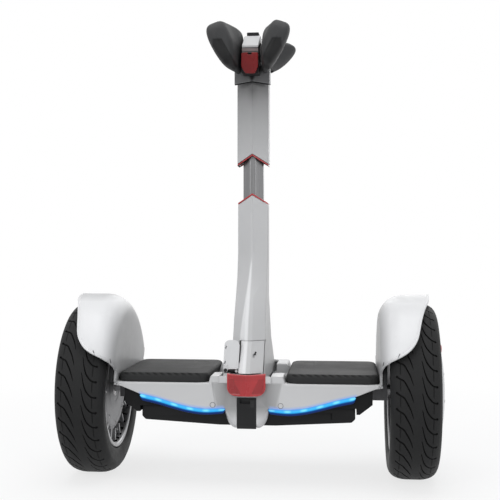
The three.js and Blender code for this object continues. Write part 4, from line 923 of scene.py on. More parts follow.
def tyre(side, word):
    """One pitch of the tread from bead to bead, repeated round the wheel."""
    pitch = 2 * math.pi * AXLE / PITCHES
    path_v, path_s = zip(*GROOVE_PATH)
    rows = tread_rows()
    points, groove, wall = [], [], []
    step = 0.2
    for v, radius in rows:
        behind, centre, ahead = (along_table(path_v, path_s, v + s) for s in (-step, 0, step))
        slope = (ahead - behind) / (2 * step)
        width, depth = groove_shape(v)
        half = min(width * math.sqrt(1 + slope ** 2), pitch * 0.3)
        lip = half + 0.3
        places = [-pitch / 2, blend(-pitch / 2, -lip, 0.35), blend(-pitch / 2, -lip, 0.62), -lip,
                  -half * 0.72, half * 0.72, lip, blend(lip, pitch / 2, 0.5), pitch / 2]
        line = 0.0
        if radius < 117 and abs(v) > 30:
            line = 0.35 * sum(math.exp(-((radius - at) / 0.9) ** 2) for at in WALL_LINES)
        for k, place_along in enumerate(places):
            sunk, dark = 0.0, 0.0
            # dark marks where painted shade falls in the grooves and the shoulder rings.
            if k in (4, 5):
                sunk, dark = depth, 1.0 if depth > 0.2 else 0.0
            elif SHOULDER_RING[0] < abs(v) < SHOULDER_RING[1] and k not in (2, 3):
                sunk, dark = RING_DEPTH, 0.85
            angle = (centre + place_along) / AXLE
            r = radius - sunk
            points.append((v + math.copysign(line, v), -r * math.cos(angle), -r * math.sin(angle)))
            groove.append(dark)
            wall.append(min(max((WALL_TOP - radius) / 6, 0), 1))
    count = len(places)
    faces = quads(len(rows), count)
    strip = new_object(word + "_tyre.tread", points, faces, "tyre", {"groove": groove, "wall": wall})
    whole = close_bore(repeated(strip, PITCHES, (side * HALF_TRACK, 0, AXLE), weld=0.05))
    return place(smooth(whole, 50), word + "_wheel", "tyre_rubber", word + "_tyre")


def close_bore(thing):
    """Joins the two bead rings with a seat, so that the ring of rubber is closed."""
    bm = bmesh.new()
    bm.from_mesh(thing.data)
    rims = [e for e in bm.edges if e.is_boundary]
    bmesh.ops.bridge_loops(bm, edges=rims)
    bmesh.ops.recalc_face_normals(bm, faces=bm.faces)
    bm.to_mesh(thing.data)
    bm.free()
    return thing


# ---------------------------------------------------------------- wheels
def rim(side, word):
    """Rim ring with a bright rolled lip, a dark dish with cast ribs, and the drum for the motor."""
    profile = [(0, 10), (60.3, 10), (60.3, -20), (63.2, -20.2), (64.5, -21.2), (66, -17.5), (69, -16),
               (78.5, -17), (82.6, -20.5), (84.4, -29), (86, -30.9), (90, -31.3), (91, -30.2), (91, -27.3),
               (83.7, -14), (83.7, 27.3), (91, 27.3), (91, 30.2), (90, 31.3), (80.5, 31.3), (77.6, 29.6),
               (77.5, 16), (0, 16)]
    path = rounded(profile, 0.9, 2, closed=False)
    steps = 112
    dish_in, dish_out = 65, 84.2
    dish = [1.0 if dish_in < r < dish_out and out < -15.5 else 0.0 for r, out in path] * steps
    body = lathe(word + "_rim.ring", path, side, "rim", steps, closed=False, floats={"dish": dish})
    across = sorted((side * -25.0, side * -14.0))
    rib = bevelled(box(word + "_rim.rib", across, (-1.3, 1.3), (dish_in, 83.4), "silver"), 0.5, 2)
    ribs = repeated(rib, 18, (side * HALF_TRACK, 0, AXLE))
    boss = rod(word + "_rim.boss", 3.4, (side * -14.0, 0, 74.5), (side * -22.0, 0, 74.5), "silver", 20, 0.6)
    bosses = repeated(boss, 9, (side * HALF_TRACK, 0, AXLE))
    whole = joined(word + "_rim.dressed", body, ribs, bosses)
    return place(whole, word + "_wheel", "silver_metal", word + "_rim")


def valve(side, word):
    """A short rubber covered valve that leans out of the rim's dish."""
    base = Vector((side * (HALF_TRACK - 15), 0, AXLE + 72))
    tip = Vector((side * (HALF_TRACK - 37.5), 0, AXLE + 66.5))
    stem = rod(word + "_valve.stem", 2.9, base, base.lerp(tip, 0.62), "black", 20, 0.5)
    cap = rod(word + "_valve.cap", 2.3, base.lerp(tip, 0.6), tip, "black", 16, 0.5)
    whole = joined(word + "_valve", stem, cap)
    turn = Matrix.Rotation(math.radians(30), 4, "X")
    centre = Matrix.Translation(Vector((0, 0, AXLE)) * MM)
    whole.data.transform(centre @ turn @ centre.inverted())
    return place(whole, word + "_wheel", "black_plastic")


def motor_cover(side, word):
    """The turned disc over the motor, with a ring of eight screws."""
    profile = [(15, -24.8), (15, -14.8), (20, -14.8), (20, -20.3), (62.5, -20.3), (62.5, -22.6),
               (58.6, -24.8), (52, -24.8), (50.6, -24.2), (36, -24.2), (34.6, -24.8), (24, -24.8),
               (23, -24.3), (19.4, -24.3), (18.6, -24.8)]
    disc = lathe(word + "_cover.disc", rounded(profile, 0.6, 2), side, "disc", 96)
    head = shifted(screw_head(word + "_cover.screw", 2.7, "steel", (-side, 0, 0)), (0, 0, 55.6))
    screws = repeated(head, 8, (side * (HALF_TRACK - 24.6), 0, AXLE))
    whole = joined(word + "_motor_cover.dressed", disc, screws)
    return place(whole, word + "_wheel", "silver_metal", word + "_motor_cover")


def wheel_bearing(side, word):
    """Both races and the shield between them, as one turned ring."""
    profile = [(8.3, -24.8), (8.3, -15.8), (14.7, -15.8), (14.7, -24.8), (13.2, -24.8), (12.8, -24.3),
               (10.2, -24.3), (9.8, -24.8)]
    ring = lathe(word + "_wheel_bearing.race", rounded(profile, 0.25, 2), side, "steel", 64)
    return place(ring, word + "_wheel", "steel", word + "_wheel_bearing")


HUBCAP_RADIUS = 77.2
HUBCAP_FOOT = 16.3
HUBCAP_RISE = 30
REFLECTOR_UP = 61


def hubcap(side, word):
    """A domed cap with a fine ring, a dished middle with five screws, and a pocket for the reflector."""
    radius_shares = [0, 0.35, 0.6, 0.8, 0.94, 1.0]
    rises = [1, 0.98, 0.93, 0.82, 0.6, 0.34]
    outer, inner = [], []
    rows, ring, ring_wide, middle = 40, 44, 3, 24
    for k in range(rows + 1):
        share = 1 - (1 - k / rows) ** 1.5
        r = HUBCAP_RADIUS * share
        out = HUBCAP_FOOT + HUBCAP_RISE * along_table(radius_shares, rises, share)
        if ring < r < ring + ring_wide:
            out -= 0.9 * math.sin((r - ring) / ring_wide * math.pi)
        if r < middle:
            out -= 1.2 * (0.5 + 0.5 * math.cos(math.pi * r / middle)) * min(1, (middle - r) / 3)
        outer.append((r, out))
        inner.append((r * 0.966, out - 2.5))
    for skin, radius in ((outer, HUBCAP_RADIUS), (inner, HUBCAP_RADIUS - 2.5)):
        skin.extend([(radius, 22), (radius, HUBCAP_FOOT)])
    cap = lathe(word + "_hubcap.dome", outer + inner[::-1], side, "white", 120, closed=False)
    pocket = [(side * x, 0, AXLE + REFLECTOR_UP) for x in (262, 300)]
    cutter = rod("pocket", 7.3, *pocket, steps=40)
    smooth(drilled(cap, cutter), 35)
    head = shifted(screw_head(word + "_hubcap.screw", 2.6, "steel", (side, 0, 0)), (0, 0, -33))
    screws = repeated(head, 5, (side * (HALF_TRACK + 45.1), 0, AXLE))
    whole = joined(word + "_hubcap.dressed", cap, screws)
    place(whole, word + "_wheel", "white_casing", word + "_hubcap")
    profile = [(0, 31.3), (7, 31.3), (7, 41.9), (6, 43.9), (3.5, 44.6), (0, 44.8)]
    path = rounded(profile, 0.4, 2, closed=False)
    spot = lathe(word + "_reflector.lens", path, side, "red trim", 48, closed=False)
    place(shifted(spot, (0, 0, REFLECTOR_UP)), word + "_wheel", "red_plastic", word + "_reflector")


# ---------------------------------------------------------------- fenders
FENDER_ANGLES = [0, 0.26, 0.38, 0.565, 0.718, 0.794, 0.864, 0.924, 0.966, 1]
FENDER_REACH = [1, 0.946, 0.878, 0.784, 0.722, 0.682, 0.608, 0.5, 0.351, 0.12]
FENDER_WIDE = 74
FENDER_END = 65.5
FENDER_THICK = 3.0
WALL_END = 78.2
WALL_DEPTH = 93
WALL_RADIUS = 104
SHOULDER = 36
WALL_X = 186
HEM = [(0.0, 0.0), (0.5, -0.35), (1.3, -0.6), (2.1, -0.35), (2.7, 0.25), (3.2, 0.45), (3.7, 0.2), (4.6, 0.0)]


def fender_length(reach):
    """How far along its section the crown runs from the foot of the shoulder."""
    turn = math.acos(1 - min(reach, SHOULDER) / SHOULDER)
    return turn * SHOULDER + max(reach - SHOULDER, 0)


def fender_point(angle, length, depth):
    """A point of the crown or, for a length below nought, of the wall under it."""
    if length < 0:
        x, radius = WALL_X + depth, WALL_RADIUS + length
    else:
        turn = min(length / SHOULDER, math.pi / 2)
        shoulder = SHOULDER - depth
        past = max(length - math.pi / 2 * SHOULDER, 0)
        x = WALL_X + SHOULDER - shoulder * math.cos(turn) + past
        radius = WALL_RADIUS + shoulder * math.sin(turn)
    return x, radius * math.sin(angle), AXLE + radius * math.cos(angle)


def fender_edge(degrees):
    """The length of the section at an angle, which draws in towards both ends."""
    share = abs(degrees) / FENDER_END
    if share <= 1:
        return fender_length(along_table(FENDER_ANGLES, FENDER_REACH, share) * FENDER_WIDE)
    end = fender_length(FENDER_REACH[-1] * FENDER_WIDE)
    wall = WALL_DEPTH / math.sin(math.radians(abs(degrees))) - WALL_RADIUS
    t = (abs(degrees) - FENDER_END) / (WALL_END - FENDER_END)
    return blend(end, -9, min(1, t * 4)) if t < 0.25 else min(-9, wall)


def fender(side, word):
    """The shell in one sweep of sections, with a rolled hem and a fine groove inside it."""
    steps, count = 26, 92
    rows, wall = [], []
    for k in range(count + 1):
        t = 2 * k / count - 1
        degrees = WALL_END * math.copysign(abs(t) ** 0.86, t)
        angle = math.radians(degrees)
        foot = (DECK_TOP + 0.3 - AXLE) / math.cos(angle) - WALL_RADIUS
        edge = fender_edge(degrees)
        slope = (fender_edge(degrees + 0.4) - fender_edge(degrees - 0.4)) / (math.radians(0.8) * 130)
        stretch = min(math.sqrt(1 + slope ** 2), 2.6)
        reach = max(edge - foot, 0.01)
        squeeze = min(1, reach / (HEM[-1][0] * stretch) * 0.8)
        lengths = [(edge - d * stretch * squeeze, lift) for d, lift in HEM]
        last = lengths[-1][0]
        lengths += [(blend(last, foot, (s + 1) / steps), 0.0) for s in range(steps)]
        flatten = squeeze if abs(degrees) < 74 else 0
        rows.append([fender_point(angle, a, lift * flatten) for a, lift in lengths]
                    + [fender_point(angle, a, FENDER_THICK) for a, _ in lengths[::-1]])
        # wall marks the inner wall, which the paint darkens with painted shade.
        wall += [min(max((34 - a) / 26, 0), 1) for a, _ in lengths + lengths[::-1]]
    points = [(side * x, y, z) for row in rows for x, y, z in row]
    size = len(rows[0])
    faces = quads(len(rows), size, closed=True)
    for base in (0, count * size):
        facing = base + size - 1
        faces += [(base + k, base + k + 1, facing - k - 1, facing - k) for k in range(size // 2 - 1)]
    shell = new_object(word + "_fender.shell", points, faces, "fender white", {"wall": wall})
    smooth(shell, 32)
    notches = []
    for length, start, end in ((43.0, 63.6, 61.3), (15.0, 66.4, 63.8)):
        path = [fender_point(math.radians(-d), length + (start - d) * 1.1, -0.15)
                for d in (start, (start + end) / 2, end)]
        notches.append(bead("notch", [(side * x, y, z) for x, y, z in path], 0.42, "black", 6))
    whole = joined(word + "_fender.dressed", shell, *notches)
    return place(whole, "chassis", "white_casing", word + "_fender")


def arch_shade_plates(side, word):
    """Black plates inside the arch, on the deck's end: the dark inside of the arch, partly its black plastic
    and partly painted shade.
    """
    plates = []
    for end in (-1, 1):
        outline = []
        inner_turns, outer_turns = range(71, 48, -3), range(50, 79, 4)
        for radius, turns in ((98.5, outer_turns), (64.0, inner_turns)):
            for degrees in turns:
                angle = math.radians(degrees) * end
                outline.append((radius * math.sin(angle), AXLE + radius * math.cos(angle)))
        across = sorted((side * 190.3, side * 195.8))
        plates.append(bevelled(slab("arch_plate", outline, across, "X", "black"), 0.8))
    return place(joined(word + "_arch_shade_plates", *plates), "chassis", "black_plastic")


# ---------------------------------------------------------------- deck
KEEL_BOTTOM = 83
KEEL_IN = 13.8
KEEL_OUT = 30
KEEL_BACK = 76
NOSE_ROUND = 13
PLUG_X = 48
PLUG_Z = 116
NOSE_WIDE = [(83, 15), (84, 19), (85.9, 22.2), (88.5, 25), (92, 27), (97, 28.8), (103.9, 30), (112, 30)]


def deck_edge(a, b):
    """How far each edge of the deck shell is rounded, as a share of 3 mm."""
    x = (abs(a.x) + abs(b.x)) / 2
    z = (a.z + b.z) / 2
    outside = min(abs(a.y), abs(b.y)) > DECK_DEPTH - 0.2
    upright = abs(a.z - b.z) > 3 and abs(a.x - b.x) < 20
    crossing = abs(a.y - b.y) > 60
    sunk = min(abs(a.y), abs(b.y)) > DECK_DEPTH - 3.2 and not crossing and 24 < x < 51
    keel = z < KEEL_TOP + 0.5 and x < KEEL_OUT + 1
    if keel or (sunk and KEEL_TOP < z < DECK_TOP - 0.5):
        return 0.0
    if outside and z > 100:
        lower_edge = KEEL_OUT < x < 181 and z < DECK_TOP - 2 and not upright
        return 0.3 if lower_edge else 0.95 if x > 46 and z > DECK_TOP - 2 else 0.12
    if crossing and x > 49 and z > DECK_TOP - 1:
        return 0.9
    hump = z > DECK_TOP + 9
    return (0.7 if x > 37 else 0.25) if hump else 0.12


def keel_nose(side, end):
    """Half a keel: a face that rounds away towards its outer edge and fades into the deck's face."""
    heights, wides = zip(*NOSE_WIDE)
    rows, columns, readings = 30, 22, 60
    levels = [blend(KEEL_BOTTOM, KEEL_TOP, k / readings) for k in range(readings + 1)]
    line = [(KEEL_IN, KEEL_BOTTOM)] + [(along_table(heights, wides, z), z) for z in levels]
    points = []
    for r in range(rows + 1):
        z = KEEL_BOTTOM + (KEEL_TOP - KEEL_BOTTOM) * (r / rows) ** 1.6
        wide = along_table(heights, wides, z)
        fade = min((KEEL_TOP - z) / 12, 1)
        for c in range(columns + 1):
            x = blend(wide, KEEL_IN, (c / columns) ** 1.5)
            edge = min(math.hypot(x - a, (z - b) * 1.5) for a, b in line)
            lost = max(NOSE_ROUND - edge, 0)
            back = (NOSE_ROUND - math.sqrt(max(NOSE_ROUND ** 2 - lost ** 2, 0))) * 0.85 * fade ** 1.5
            lip = max(0.8 - (x - KEEL_IN), 0) ** 2 * 0.5
            points.append((side * x, end * (DECK_DEPTH - back - lip), z))
    back = [(x, end * KEEL_BACK, z) for x, _, z in points]
    return smooth(plate("keel nose", points, back, columns + 1, "deck white"), 50)


def deck_body():
    """The CAD shell with rounded keel noses, and faces that turn in at a crease beside the cover."""
    shell = copied("deck_shell", "deck white")
    cutters = []
    for side in (-1, 1):
        across = sorted((side * (KEEL_IN - 0.4), side * (KEEL_OUT + 0.06)))
        for end in (-1, 1):
            along = sorted((end * (KEEL_BACK - 0.2), end * (DECK_DEPTH + 1)))
            cutters.append(box("keel cut", across, along, (KEEL_BOTTOM - 1, KEEL_TOP), "deck white"))
            cutters.append(crease_cutter(side, end))
    drilled(shell, *cutters)
    shell = eased(shell, 3.0, deck_edge, 4)
    noses = [keel_nose(side, end) for side in (-1, 1) for end in (-1, 1)]
    ledges = [box("ledge", across, (-DECK_DEPTH + 0.3, 80), (DECK_TOP - 3, DECK_TOP - 0.2), "deck white")
              for across in ((-38.2, -31.4), (31.4, 34.2))]
    return joined("deck shell", shell, *noses, *ledges)


def crease_cutter(side, end):
    """A wedge that sinks the deck's face 1.3 mm at the crease and nothing at the cover."""
    outline = [(49.5, DECK_TOP + 1), (44.5, KEEL_TOP + 1), (KEEL_OUT, KEEL_TOP + 0.5), (26, DECK_TOP + 1)]
    sunk = [1.3, 1.0, -0.1, -0.1]
    face = [(side * x, end * (DECK_DEPTH - d), z) for (x, z), d in zip(outline, sunk)]
    out = [(side * x, end * (DECK_DEPTH + 3), z) for x, z in outline]
    faces = quads(2, 4, closed=True) + [(0, 1, 2), (0, 2, 3), (4, 5, 6, 7)]
    return new_object("crease", face + out, faces, "deck white")


def deck():
    """The deck's shell with its four plugs and the screws at the tips of its rear."""
    shell = deck_body()
    details = []
    turns = [t * math.pi / 12 for t in range(24)]
    for x in (-PLUG_X, PLUG_X):
        for end in (-1, 1):
            face = end * DECK_DEPTH
            ring = [(x + 3.6 * math.cos(t), face + end * 0.05, PLUG_Z + 3.6 * math.sin(t)) for t in turns]
            details.append(bead("plug ring", ring, 0.28, "clamp", 6, closed=True))
            inside, outside = ((x, face + end * out, PLUG_Z) for out in (-1.0, 0.3))
            details.append(rod("plug", 3.3, inside, outside, "white", 28, 0.3))
    for side in (-1, 1):
        screw = screw_head("tip screw", 2.0, "steel", (0, -1, 0))
        details.append(shifted(screw, (side * 184.5, -DECK_DEPTH - 0.1, 143.4)))
    whole = joined("deck_shell.dressed", shell, *details)
    return place(whole, "chassis", "white_casing", "deck_shell")


def tail_light(side, word):
    """The light bar: one smooth swoosh with a domed face and drawn-in ends."""
    columns, section = 72, 14
    points, uvs = [], []
    for c in range(columns + 1):
        share = c / columns
        x = side * blend(LIGHT_IN, LIGHT_OUT, share)
        middle = AXLE - LIGHT_RISE + LIGHT_RISE * along_table(LIGHT_ACROSS, LIGHT_UP, share)
        inward, outward = min(share / 0.035, 1), min((1 - share) / 0.045, 1)
        ease = min(1, math.sqrt(inward * (2 - inward)) + 0.02)
        ease *= max(math.sqrt(outward * (2 - outward)), 0.03)
        half = (3.2 + 0.7 * share) * ease
        for k in range(section):
            angle = math.pi * k / (section - 1)
            up = -math.cos(angle) * half
            up *= 1.75 if up < 0 else 1
            out = -DECK_DEPTH + 1.2 - 1.75 * ease * max(math.sin(angle), 0) ** 0.7
            points.append((x, out, middle + up))
            uvs.append((share, 0.5 + up / (3.5 * half)))
        points += [(x, -DECK_DEPTH + 4, middle + half), (x, -DECK_DEPTH + 4, middle - half * 1.75)]
        uvs += [(share, 0.79), (share, 0)]
    count = section + 2
    faces = quads(columns + 1, count, closed=True)
    faces += [tuple(range(count)), tuple(columns * count + k for k in range(count))]
    bar = smooth(new_object(word + "_tail_light.bar", points, faces, "light", uvs=uvs), 40)
    return place(bar, "chassis", "blue_light", word + "_tail_light")


MAT_IN = 54.5
MAT_OUT = 185.5
MAT_HALF = (MAT_OUT - MAT_IN) / 2
MAT_DEPTH = 86
MAT_CORNER = 16
MAT_ROUND = 6
MAT_TOP = 160
MAT_FOOT = 147.3
FOOT_INSET = 0.7
TOOTH_PITCH = 10.2
RIB_PITCH = 5.4
RUN_PITCH = 12.4


def mat_edge(u, y):
    """How far a place lies inside the mat's outline; u counts from its middle."""
    dx, dy = abs(u) - (MAT_HALF - MAT_CORNER), abs(y) - (MAT_DEPTH - MAT_CORNER)
    return MAT_CORNER - math.hypot(max(dx, 0), max(dy, 0)) - min(max(dx, dy), 0)


def mat_relief(u, y, side):
    """Depth below the mat's top at a place, and how much painted shade darkens it there."""
    drop, dark = 0.0, 0.0
    inside = mat_edge(u, y)
    if inside < MAT_ROUND:
        drop += MAT_ROUND - math.sqrt(max(MAT_ROUND ** 2 - (MAT_ROUND - max(inside, 0)) ** 2, 0))
    near = MAT_DEPTH - abs(y)
    if near < 6 and abs(u) < MAT_HALF - 9:
        tooth = ((u * (1 if y < 0 else -1) * side + near * 1.6) / TOOTH_PITCH) % 1.0
        rise = max(0.0, 1 - abs(near - 2.7) / 2.3)
        nick = 1 - tooth / 0.6 if tooth < 0.6 else 0.0
        drop += 1.7 * rise * nick
        dark = max(dark, min(1.0, 2.2 * rise) * min(1.0, 3 * nick))
    panel = min(u + 46, -28 - u, y + 18, 58 - y)
    if panel > 0:
        ridge = 0.5 + 0.5 * math.cos(2 * math.pi * y / RIB_PITCH)
        drop += 0.45 * min(panel / 0.8, 1) * (1 if panel < 3 else 0.55 + 0.45 * ridge)
        dark = max(dark, 0.22 if panel < 2.2 else 0.16 * ridge)
    elif inside > 11:
        line = ((y + 200) / RUN_PITCH) % 1.0
        groove = max(0.0, 1 - abs(line - 0.5) / 0.075) * min(1, (inside - 11) / 1.5)
        drop += 0.35 * groove
        dark = max(dark, 0.25 * groove)
    return drop, dark


def mat_rows(borders):
    """Where the mat's rows of points lie along it, closer together at both ends."""
    turns = {MAT_DEPTH - MAT_CORNER * (1 - math.cos(a * math.pi / 20)) for a in range(11)}
    nicks = {MAT_DEPTH - 5.5 - 0.9 * k for k in range(9)}
    ends = sorted(turns | {MAT_DEPTH - b for b in borders} | nicks, reverse=True)
    ends = [y for i, y in enumerate(ends) if i == 0 or ends[i - 1] - y > 0.12]
    inside = [y for y in (ends[-1] - 2.4 * k for k in range(1, 80)) if y > 1]
    return [-y for y in ends + inside] + [0.0] + inside[::-1] + ends[::-1]


def foot_mat(side, word):
    """A thick rounded mat: saw-tooth nicks along both ends and shallow runs across the tread."""
    borders = [0, 0.25, 0.8, 1.6, 2.6, 3.6, 4.8, 6.2]
    columns = 138
    middle = (MAT_IN + MAT_OUT) / 2
    ys = mat_rows(borders)
    points, groove = [], []
    for y in ys:
        dy = max(abs(y) - (MAT_DEPTH - MAT_CORNER), 0)
        reach = MAT_HALF - MAT_CORNER + math.sqrt(max(MAT_CORNER ** 2 - dy ** 2, 0))
        rims = [reach - b for b in borders]
        flat = rims[-1]
        us = [-r for r in rims]
        us += [blend(-flat, flat, (k + 1) / columns) for k in range(columns - 1)]
        us += rims[::-1]
        for k, u in enumerate([us[0], us[0], *us, us[-1], us[-1]]):
            drop, dark = mat_relief(u, y, side)
            from_end = min(k, len(us) + 3 - k)
            z = {0: MAT_FOOT, 1: MAT_FOOT + 1.0}.get(from_end, max(MAT_TOP - drop, MAT_FOOT + 3))
            inset = 0 if from_end else FOOT_INSET
            points.append((side * (middle + u - math.copysign(inset, u)), y, z))
            groove.append(dark)
    count = len(us) + 4
    faces = quads(len(ys), count)
    lefts = range(0, len(points) - count, count)
    faces += [(left, left + count, left + 2 * count - 1, left + count - 1) for left in lefts]
    for end, base in ((-1, 0), (1, len(points) - count)):
        start = len(points)
        for k, (x, y, _) in enumerate(points[base:base + count]):
            points.append((x, y - end * (FOOT_INSET if 0 < k < count - 1 else 0), MAT_FOOT))
        groove += [0.0] * count
        faces += [(base + k, base + k + 1, start + k + 1, start + k) for k in range(count - 1)]
        faces.append(tuple(range(start, start + count)))
    mat = new_object(word + "_foot_mat.tread", points, faces, "mat", {"groove": groove})
    return place(smooth(mat, 38), "chassis", "mat_rubber", word + "_foot_mat")


# ---------------------------------------------------------------- knee pads
PAD_STATIONS = [-1, -0.955, -0.86, -0.73, -0.565, -0.4, -0.235, 0, 0.21, 0.4, 0.59, 0.753, 0.87, 0.953, 1]
PAD_FOOT = [0.47, 0.38, 0.31, 0.27, 0.22, 0.14, 0.055, 0, 0, 0.05, 0.19, 0.42, 0.6, 0.82, 1]
PAD_CROWN = [0.614, 0.637, 0.649, 0.637, 0.533, 0.347, 0.149, 0, 0.033, 0.195, 0.498, 0.73, 0.83, 0.851, 0.8]
PAD_RISE = [0.42, 0.27, 0.16, 0.12, 0.1, 0.085, 0.075, 0.085, 0.125, 0.22, 0.38, 0.52, 0.64, 0.77, 0.92]
PAD_DROP = [1.5, 0.92, 0.4, 0.13, 0.01, 0, 0.05, 0.2, 0.42, 0.56, 0.55, 0.5, 0.53, 0.74, 1.1]
PAD_THICK = [0.375, 0.72, 0.94, 1, 0.94, 0.78, 0.56, 0.375, 0.388, 0.469, 0.5625, 0.5625, 0.52, 0.406, 0.2]
PAD_HALF = 85
PAD_TIP = 0.972
PAD_TAPER = 0.3
PANEL_FADE = 1.6
PAD_IN = 19.6
PAD_LOW = AXLE + 465
PAD_HIGH = AXLE + 535
PAD_THICKEST = 16


def pad_section(t):
    """Foot, crown and half thickness of the pad at a share of its length, with the tips rounded off."""
    foot, crown, rise, drop, thick = (along_table(PAD_STATIONS, table, t) for table in
                                      (PAD_FOOT, PAD_CROWN, PAD_RISE, PAD_DROP, PAD_THICK))
    low = Vector((PAD_IN + 24 * foot, PAD_LOW + 44 * rise))
    high = Vector((PAD_IN + 43 * crown, PAD_HIGH - 14 * drop))
    past = max(abs(t) - PAD_TIP, 0) / (1 - PAD_TIP)
    ease = math.sqrt(max(1 - past ** 2, 0.0004))
    centre, reach = (low + high) / 2, (high - low) / 2
    return centre, reach * (0.72 + 0.28 * ease), PAD_THICKEST * thick * ease


def knee_pad(side, word):
    """A moulded pad: a full lens section that thins to both tips, with a pressed panel on its rear end."""
    stations, around = 110, 84
    points, panels = [], []
    for k in range(stations + 1):
        t = math.sin((2 * k / stations - 1) * math.pi / 2)
        centre, reach, thick = pad_section(t)
        along = reach.normalized()
        for s in range(around):
            angle = 2 * math.pi * s / around
            up = reach.length * math.sin(angle)
            out = thick * math.copysign(math.sqrt(abs(math.cos(angle))), math.cos(angle))
            lean = PAD_TAPER * math.sin(angle)
            out *= 1 + (lean if out > 0 else min(lean, 0))
            x, z = centre.x + along.x * up + along.y * out, centre.y + along.y * up - along.x * out
            depth = pad_panel(x, t * PAD_HALF, z)
            points.append((side * x, t * PAD_HALF + depth * 1.1, z))
            panels.append(depth)
    faces = quads(stations + 1, around, closed=True)
    faces += [tuple(range(around)), tuple(stations * around + s for s in range(around))]
    pad = new_object(word + "_knee_pad.skin", points, faces, "pad", {"panel": panels})
    gap = box("collar gap", sorted((0, side * 50)), (-10.9, 44.8), (560, 610.3))
    place(smooth(drilled(pad, gap), 38), "height_slider", "pad_foam", word + "_knee_pad")
    return pad


def pad_panel(x, y, z):
    """1 inside the pressed panel on the rear lobe's end, fading over its slanted border."""
    inner = 18.0 + (z - 603) * 0.565
    outer = 50.5 - max(z - 615, 0) * 0.08
    across = min(x - inner, outer - x if z > 622 else PANEL_FADE, 633.5 - z) / PANEL_FADE
    return min(max(min(across, (-40 - y) / 6), 0), 1)


# ---------------------------------------------------------------- column
def foot_cover():
    """The clear red cover: three faces in front, pressed corners darkened with painted shade, and a painted
    highlight in a band on top.
    """
    half, ridge, side_y, top, bottom, chamfer = 27, 98, 91.6, 161, 130, 12
    columns, rows, pressed, thick = 54, 31, 0.55, 2.8
    front, facet = [], []
    for r in range(rows + 1):
        level = blend(bottom, top, r / rows)
        rise = level - bottom
        inset = chamfer - math.sqrt(chamfer ** 2 - max(chamfer - rise, 0) ** 2)
        width = half - inset * 0.95
        edge = blend(6.5, 16.5, min(rise / 21, 1))
        for c in range(columns + 1):
            x = blend(-width, width, c / columns)
            out = abs(x)
            panel = edge < out < half - 2.2 and level < 151 + 0.12 * out and rise > 2
            y = -ridge + max(out - 5, 0) / 22 * (ridge - side_y) + (pressed if panel else 0)
            y += max(level - top + 1.2, 0) ** 2 * 0.5
            front.append((x, y, level - 1.5 * (1 - (x / half) ** 2) * (rise / (top - bottom)) ** 3))
            facet.append(pressed if panel else (0.0 if level < 152 else 0.15))
    back = [(x, y + thick, z) for x, y, z in front]
    floats = {"facet": facet + [0.0] * len(back)}
    cover = smooth(plate("foot_cover.lens", front, back, columns + 1, "red", floats), 30)
    return place(cover, "steering_bar", "red_plastic", "foot_cover")


def lock_lever():
    """The lever's plate with two slanted slots and the cap of its pin."""
    lever = bevelled(copied("lock_lever", "white"), 1.0)
    slope = 18 / 39
    tilt = Matrix.Rotation(-math.atan(slope), 4, "X") @ Matrix.Rotation(math.radians(22), 4, "Y")
    for x, z in ((-30.6, 196), (-31.0, 175.5)):
        hole = slab("slot", oval(2.0, 4.6, 0.95), (-6, 3), "Y", "black")
        hole.data.transform(tilt)
        drilled(lever, shifted(hole, (x, -DECK_DEPTH + (z - 167) * slope, z)))
    pin_cap = rod("pin cap", 2.6, (-29.7, -88.9, 165), (-29.7, -87.6, 165), "black", 24, 0.4)
    whole = joined("lock_lever.dressed", smooth(lever, 35), pin_cap)
    return place(whole, "lock_lever", "white_casing", "lock_lever")


def lever_latch():
    """Dark catch parts between the lever's foot and its bracket."""
    bracket = bevelled(copied("lever_bracket", "black"), 0.7)
    hook = bevelled(box("hook", (-25, -17), (-86.5, -78.4), (163.2, 167.8)), 0.8)
    stub = rod("stub", 2.2, (-14.6, -86.5, 163.6), (-14.6, -78.4, 163.6), "steel along", 20, 0.4)
    whole = joined("lever_bracket.dressed", bracket, hook, stub)
    return place(whole, "steering_bar", "black_plastic", "lever_bracket")


def spring_coil():
    """A wound wire between the steering foot and the front bearing block."""
    turns, steps, radius, height = 6, 28, 9.6, 132
    path = []
    for k in range(turns * steps + 1):
        angle = 2 * math.pi * k / steps
        y = blend(51.3, 62.7, k / (turns * steps))
        path.append((radius * math.cos(angle), y, height + radius * math.sin(angle)))
    coil = bead("centring_spring.coil", path, 0.85, "steel along", 8)
    return place(coil, "chassis", "steel", "centring_spring")


def collar_face():
    """The rear plate of the collar: a sunk V between two slanted cheeks, over a roof shaped foot. Painted
    shade darkens the V.
    """
    half, columns, rows, slant = 26.1, 40, 16, 0.035
    front, valley_shades = [], []
    for r in range(rows + 1):
        for c in range(columns + 1):
            x = blend(-half, half, c / columns)
            out = abs(x)
            z = blend(585.2 - 4.2 * out / half, 609.4, r / rows)
            into = z - (587 + out * 0.78)
            front.append((x, -10.6 + min(max(into * 0.22, 0), 1.9) + slant * out, z))
            # The painted shade of the V, deepest in its middle.
            valley_shades.append(min(max(into * 0.12 + max(5 - out, 0) * 0.2, 0.0), 1.0))
    back = [(x, -5.5 if z < 586 else -8, z) for x, _, z in front]
    face = plate("collar face", front, back, columns + 1, "collar black", {"valley": valley_shades * 2})
    foot = [(x, -9.9 + slant * abs(x), 584.4 - 4.2 * abs(x) / half) for x in (-25.6, -14, -3, 3, 14, 25.6)]
    return joined("collar plate", smooth(face, 20), bead("collar line", foot, 0.95, "casting", 8))


def on_face(node, spots, proud):
    """Where each x and z meets a CAD node's rear face, a little in front of it."""
    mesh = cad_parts[node].data
    tree = BVHTree.FromPolygons([v.co for v in mesh.vertices], [p.vertices[:] for p in mesh.polygons])
    hits = [(x, tree.ray_cast(Vector((x, -200, z)) * MM, Vector((0, 1, 0)))[0], z) for x, z in spots]
    return [(x, hit.y / MM - proud, z) for x, hit, z in hits if hit]


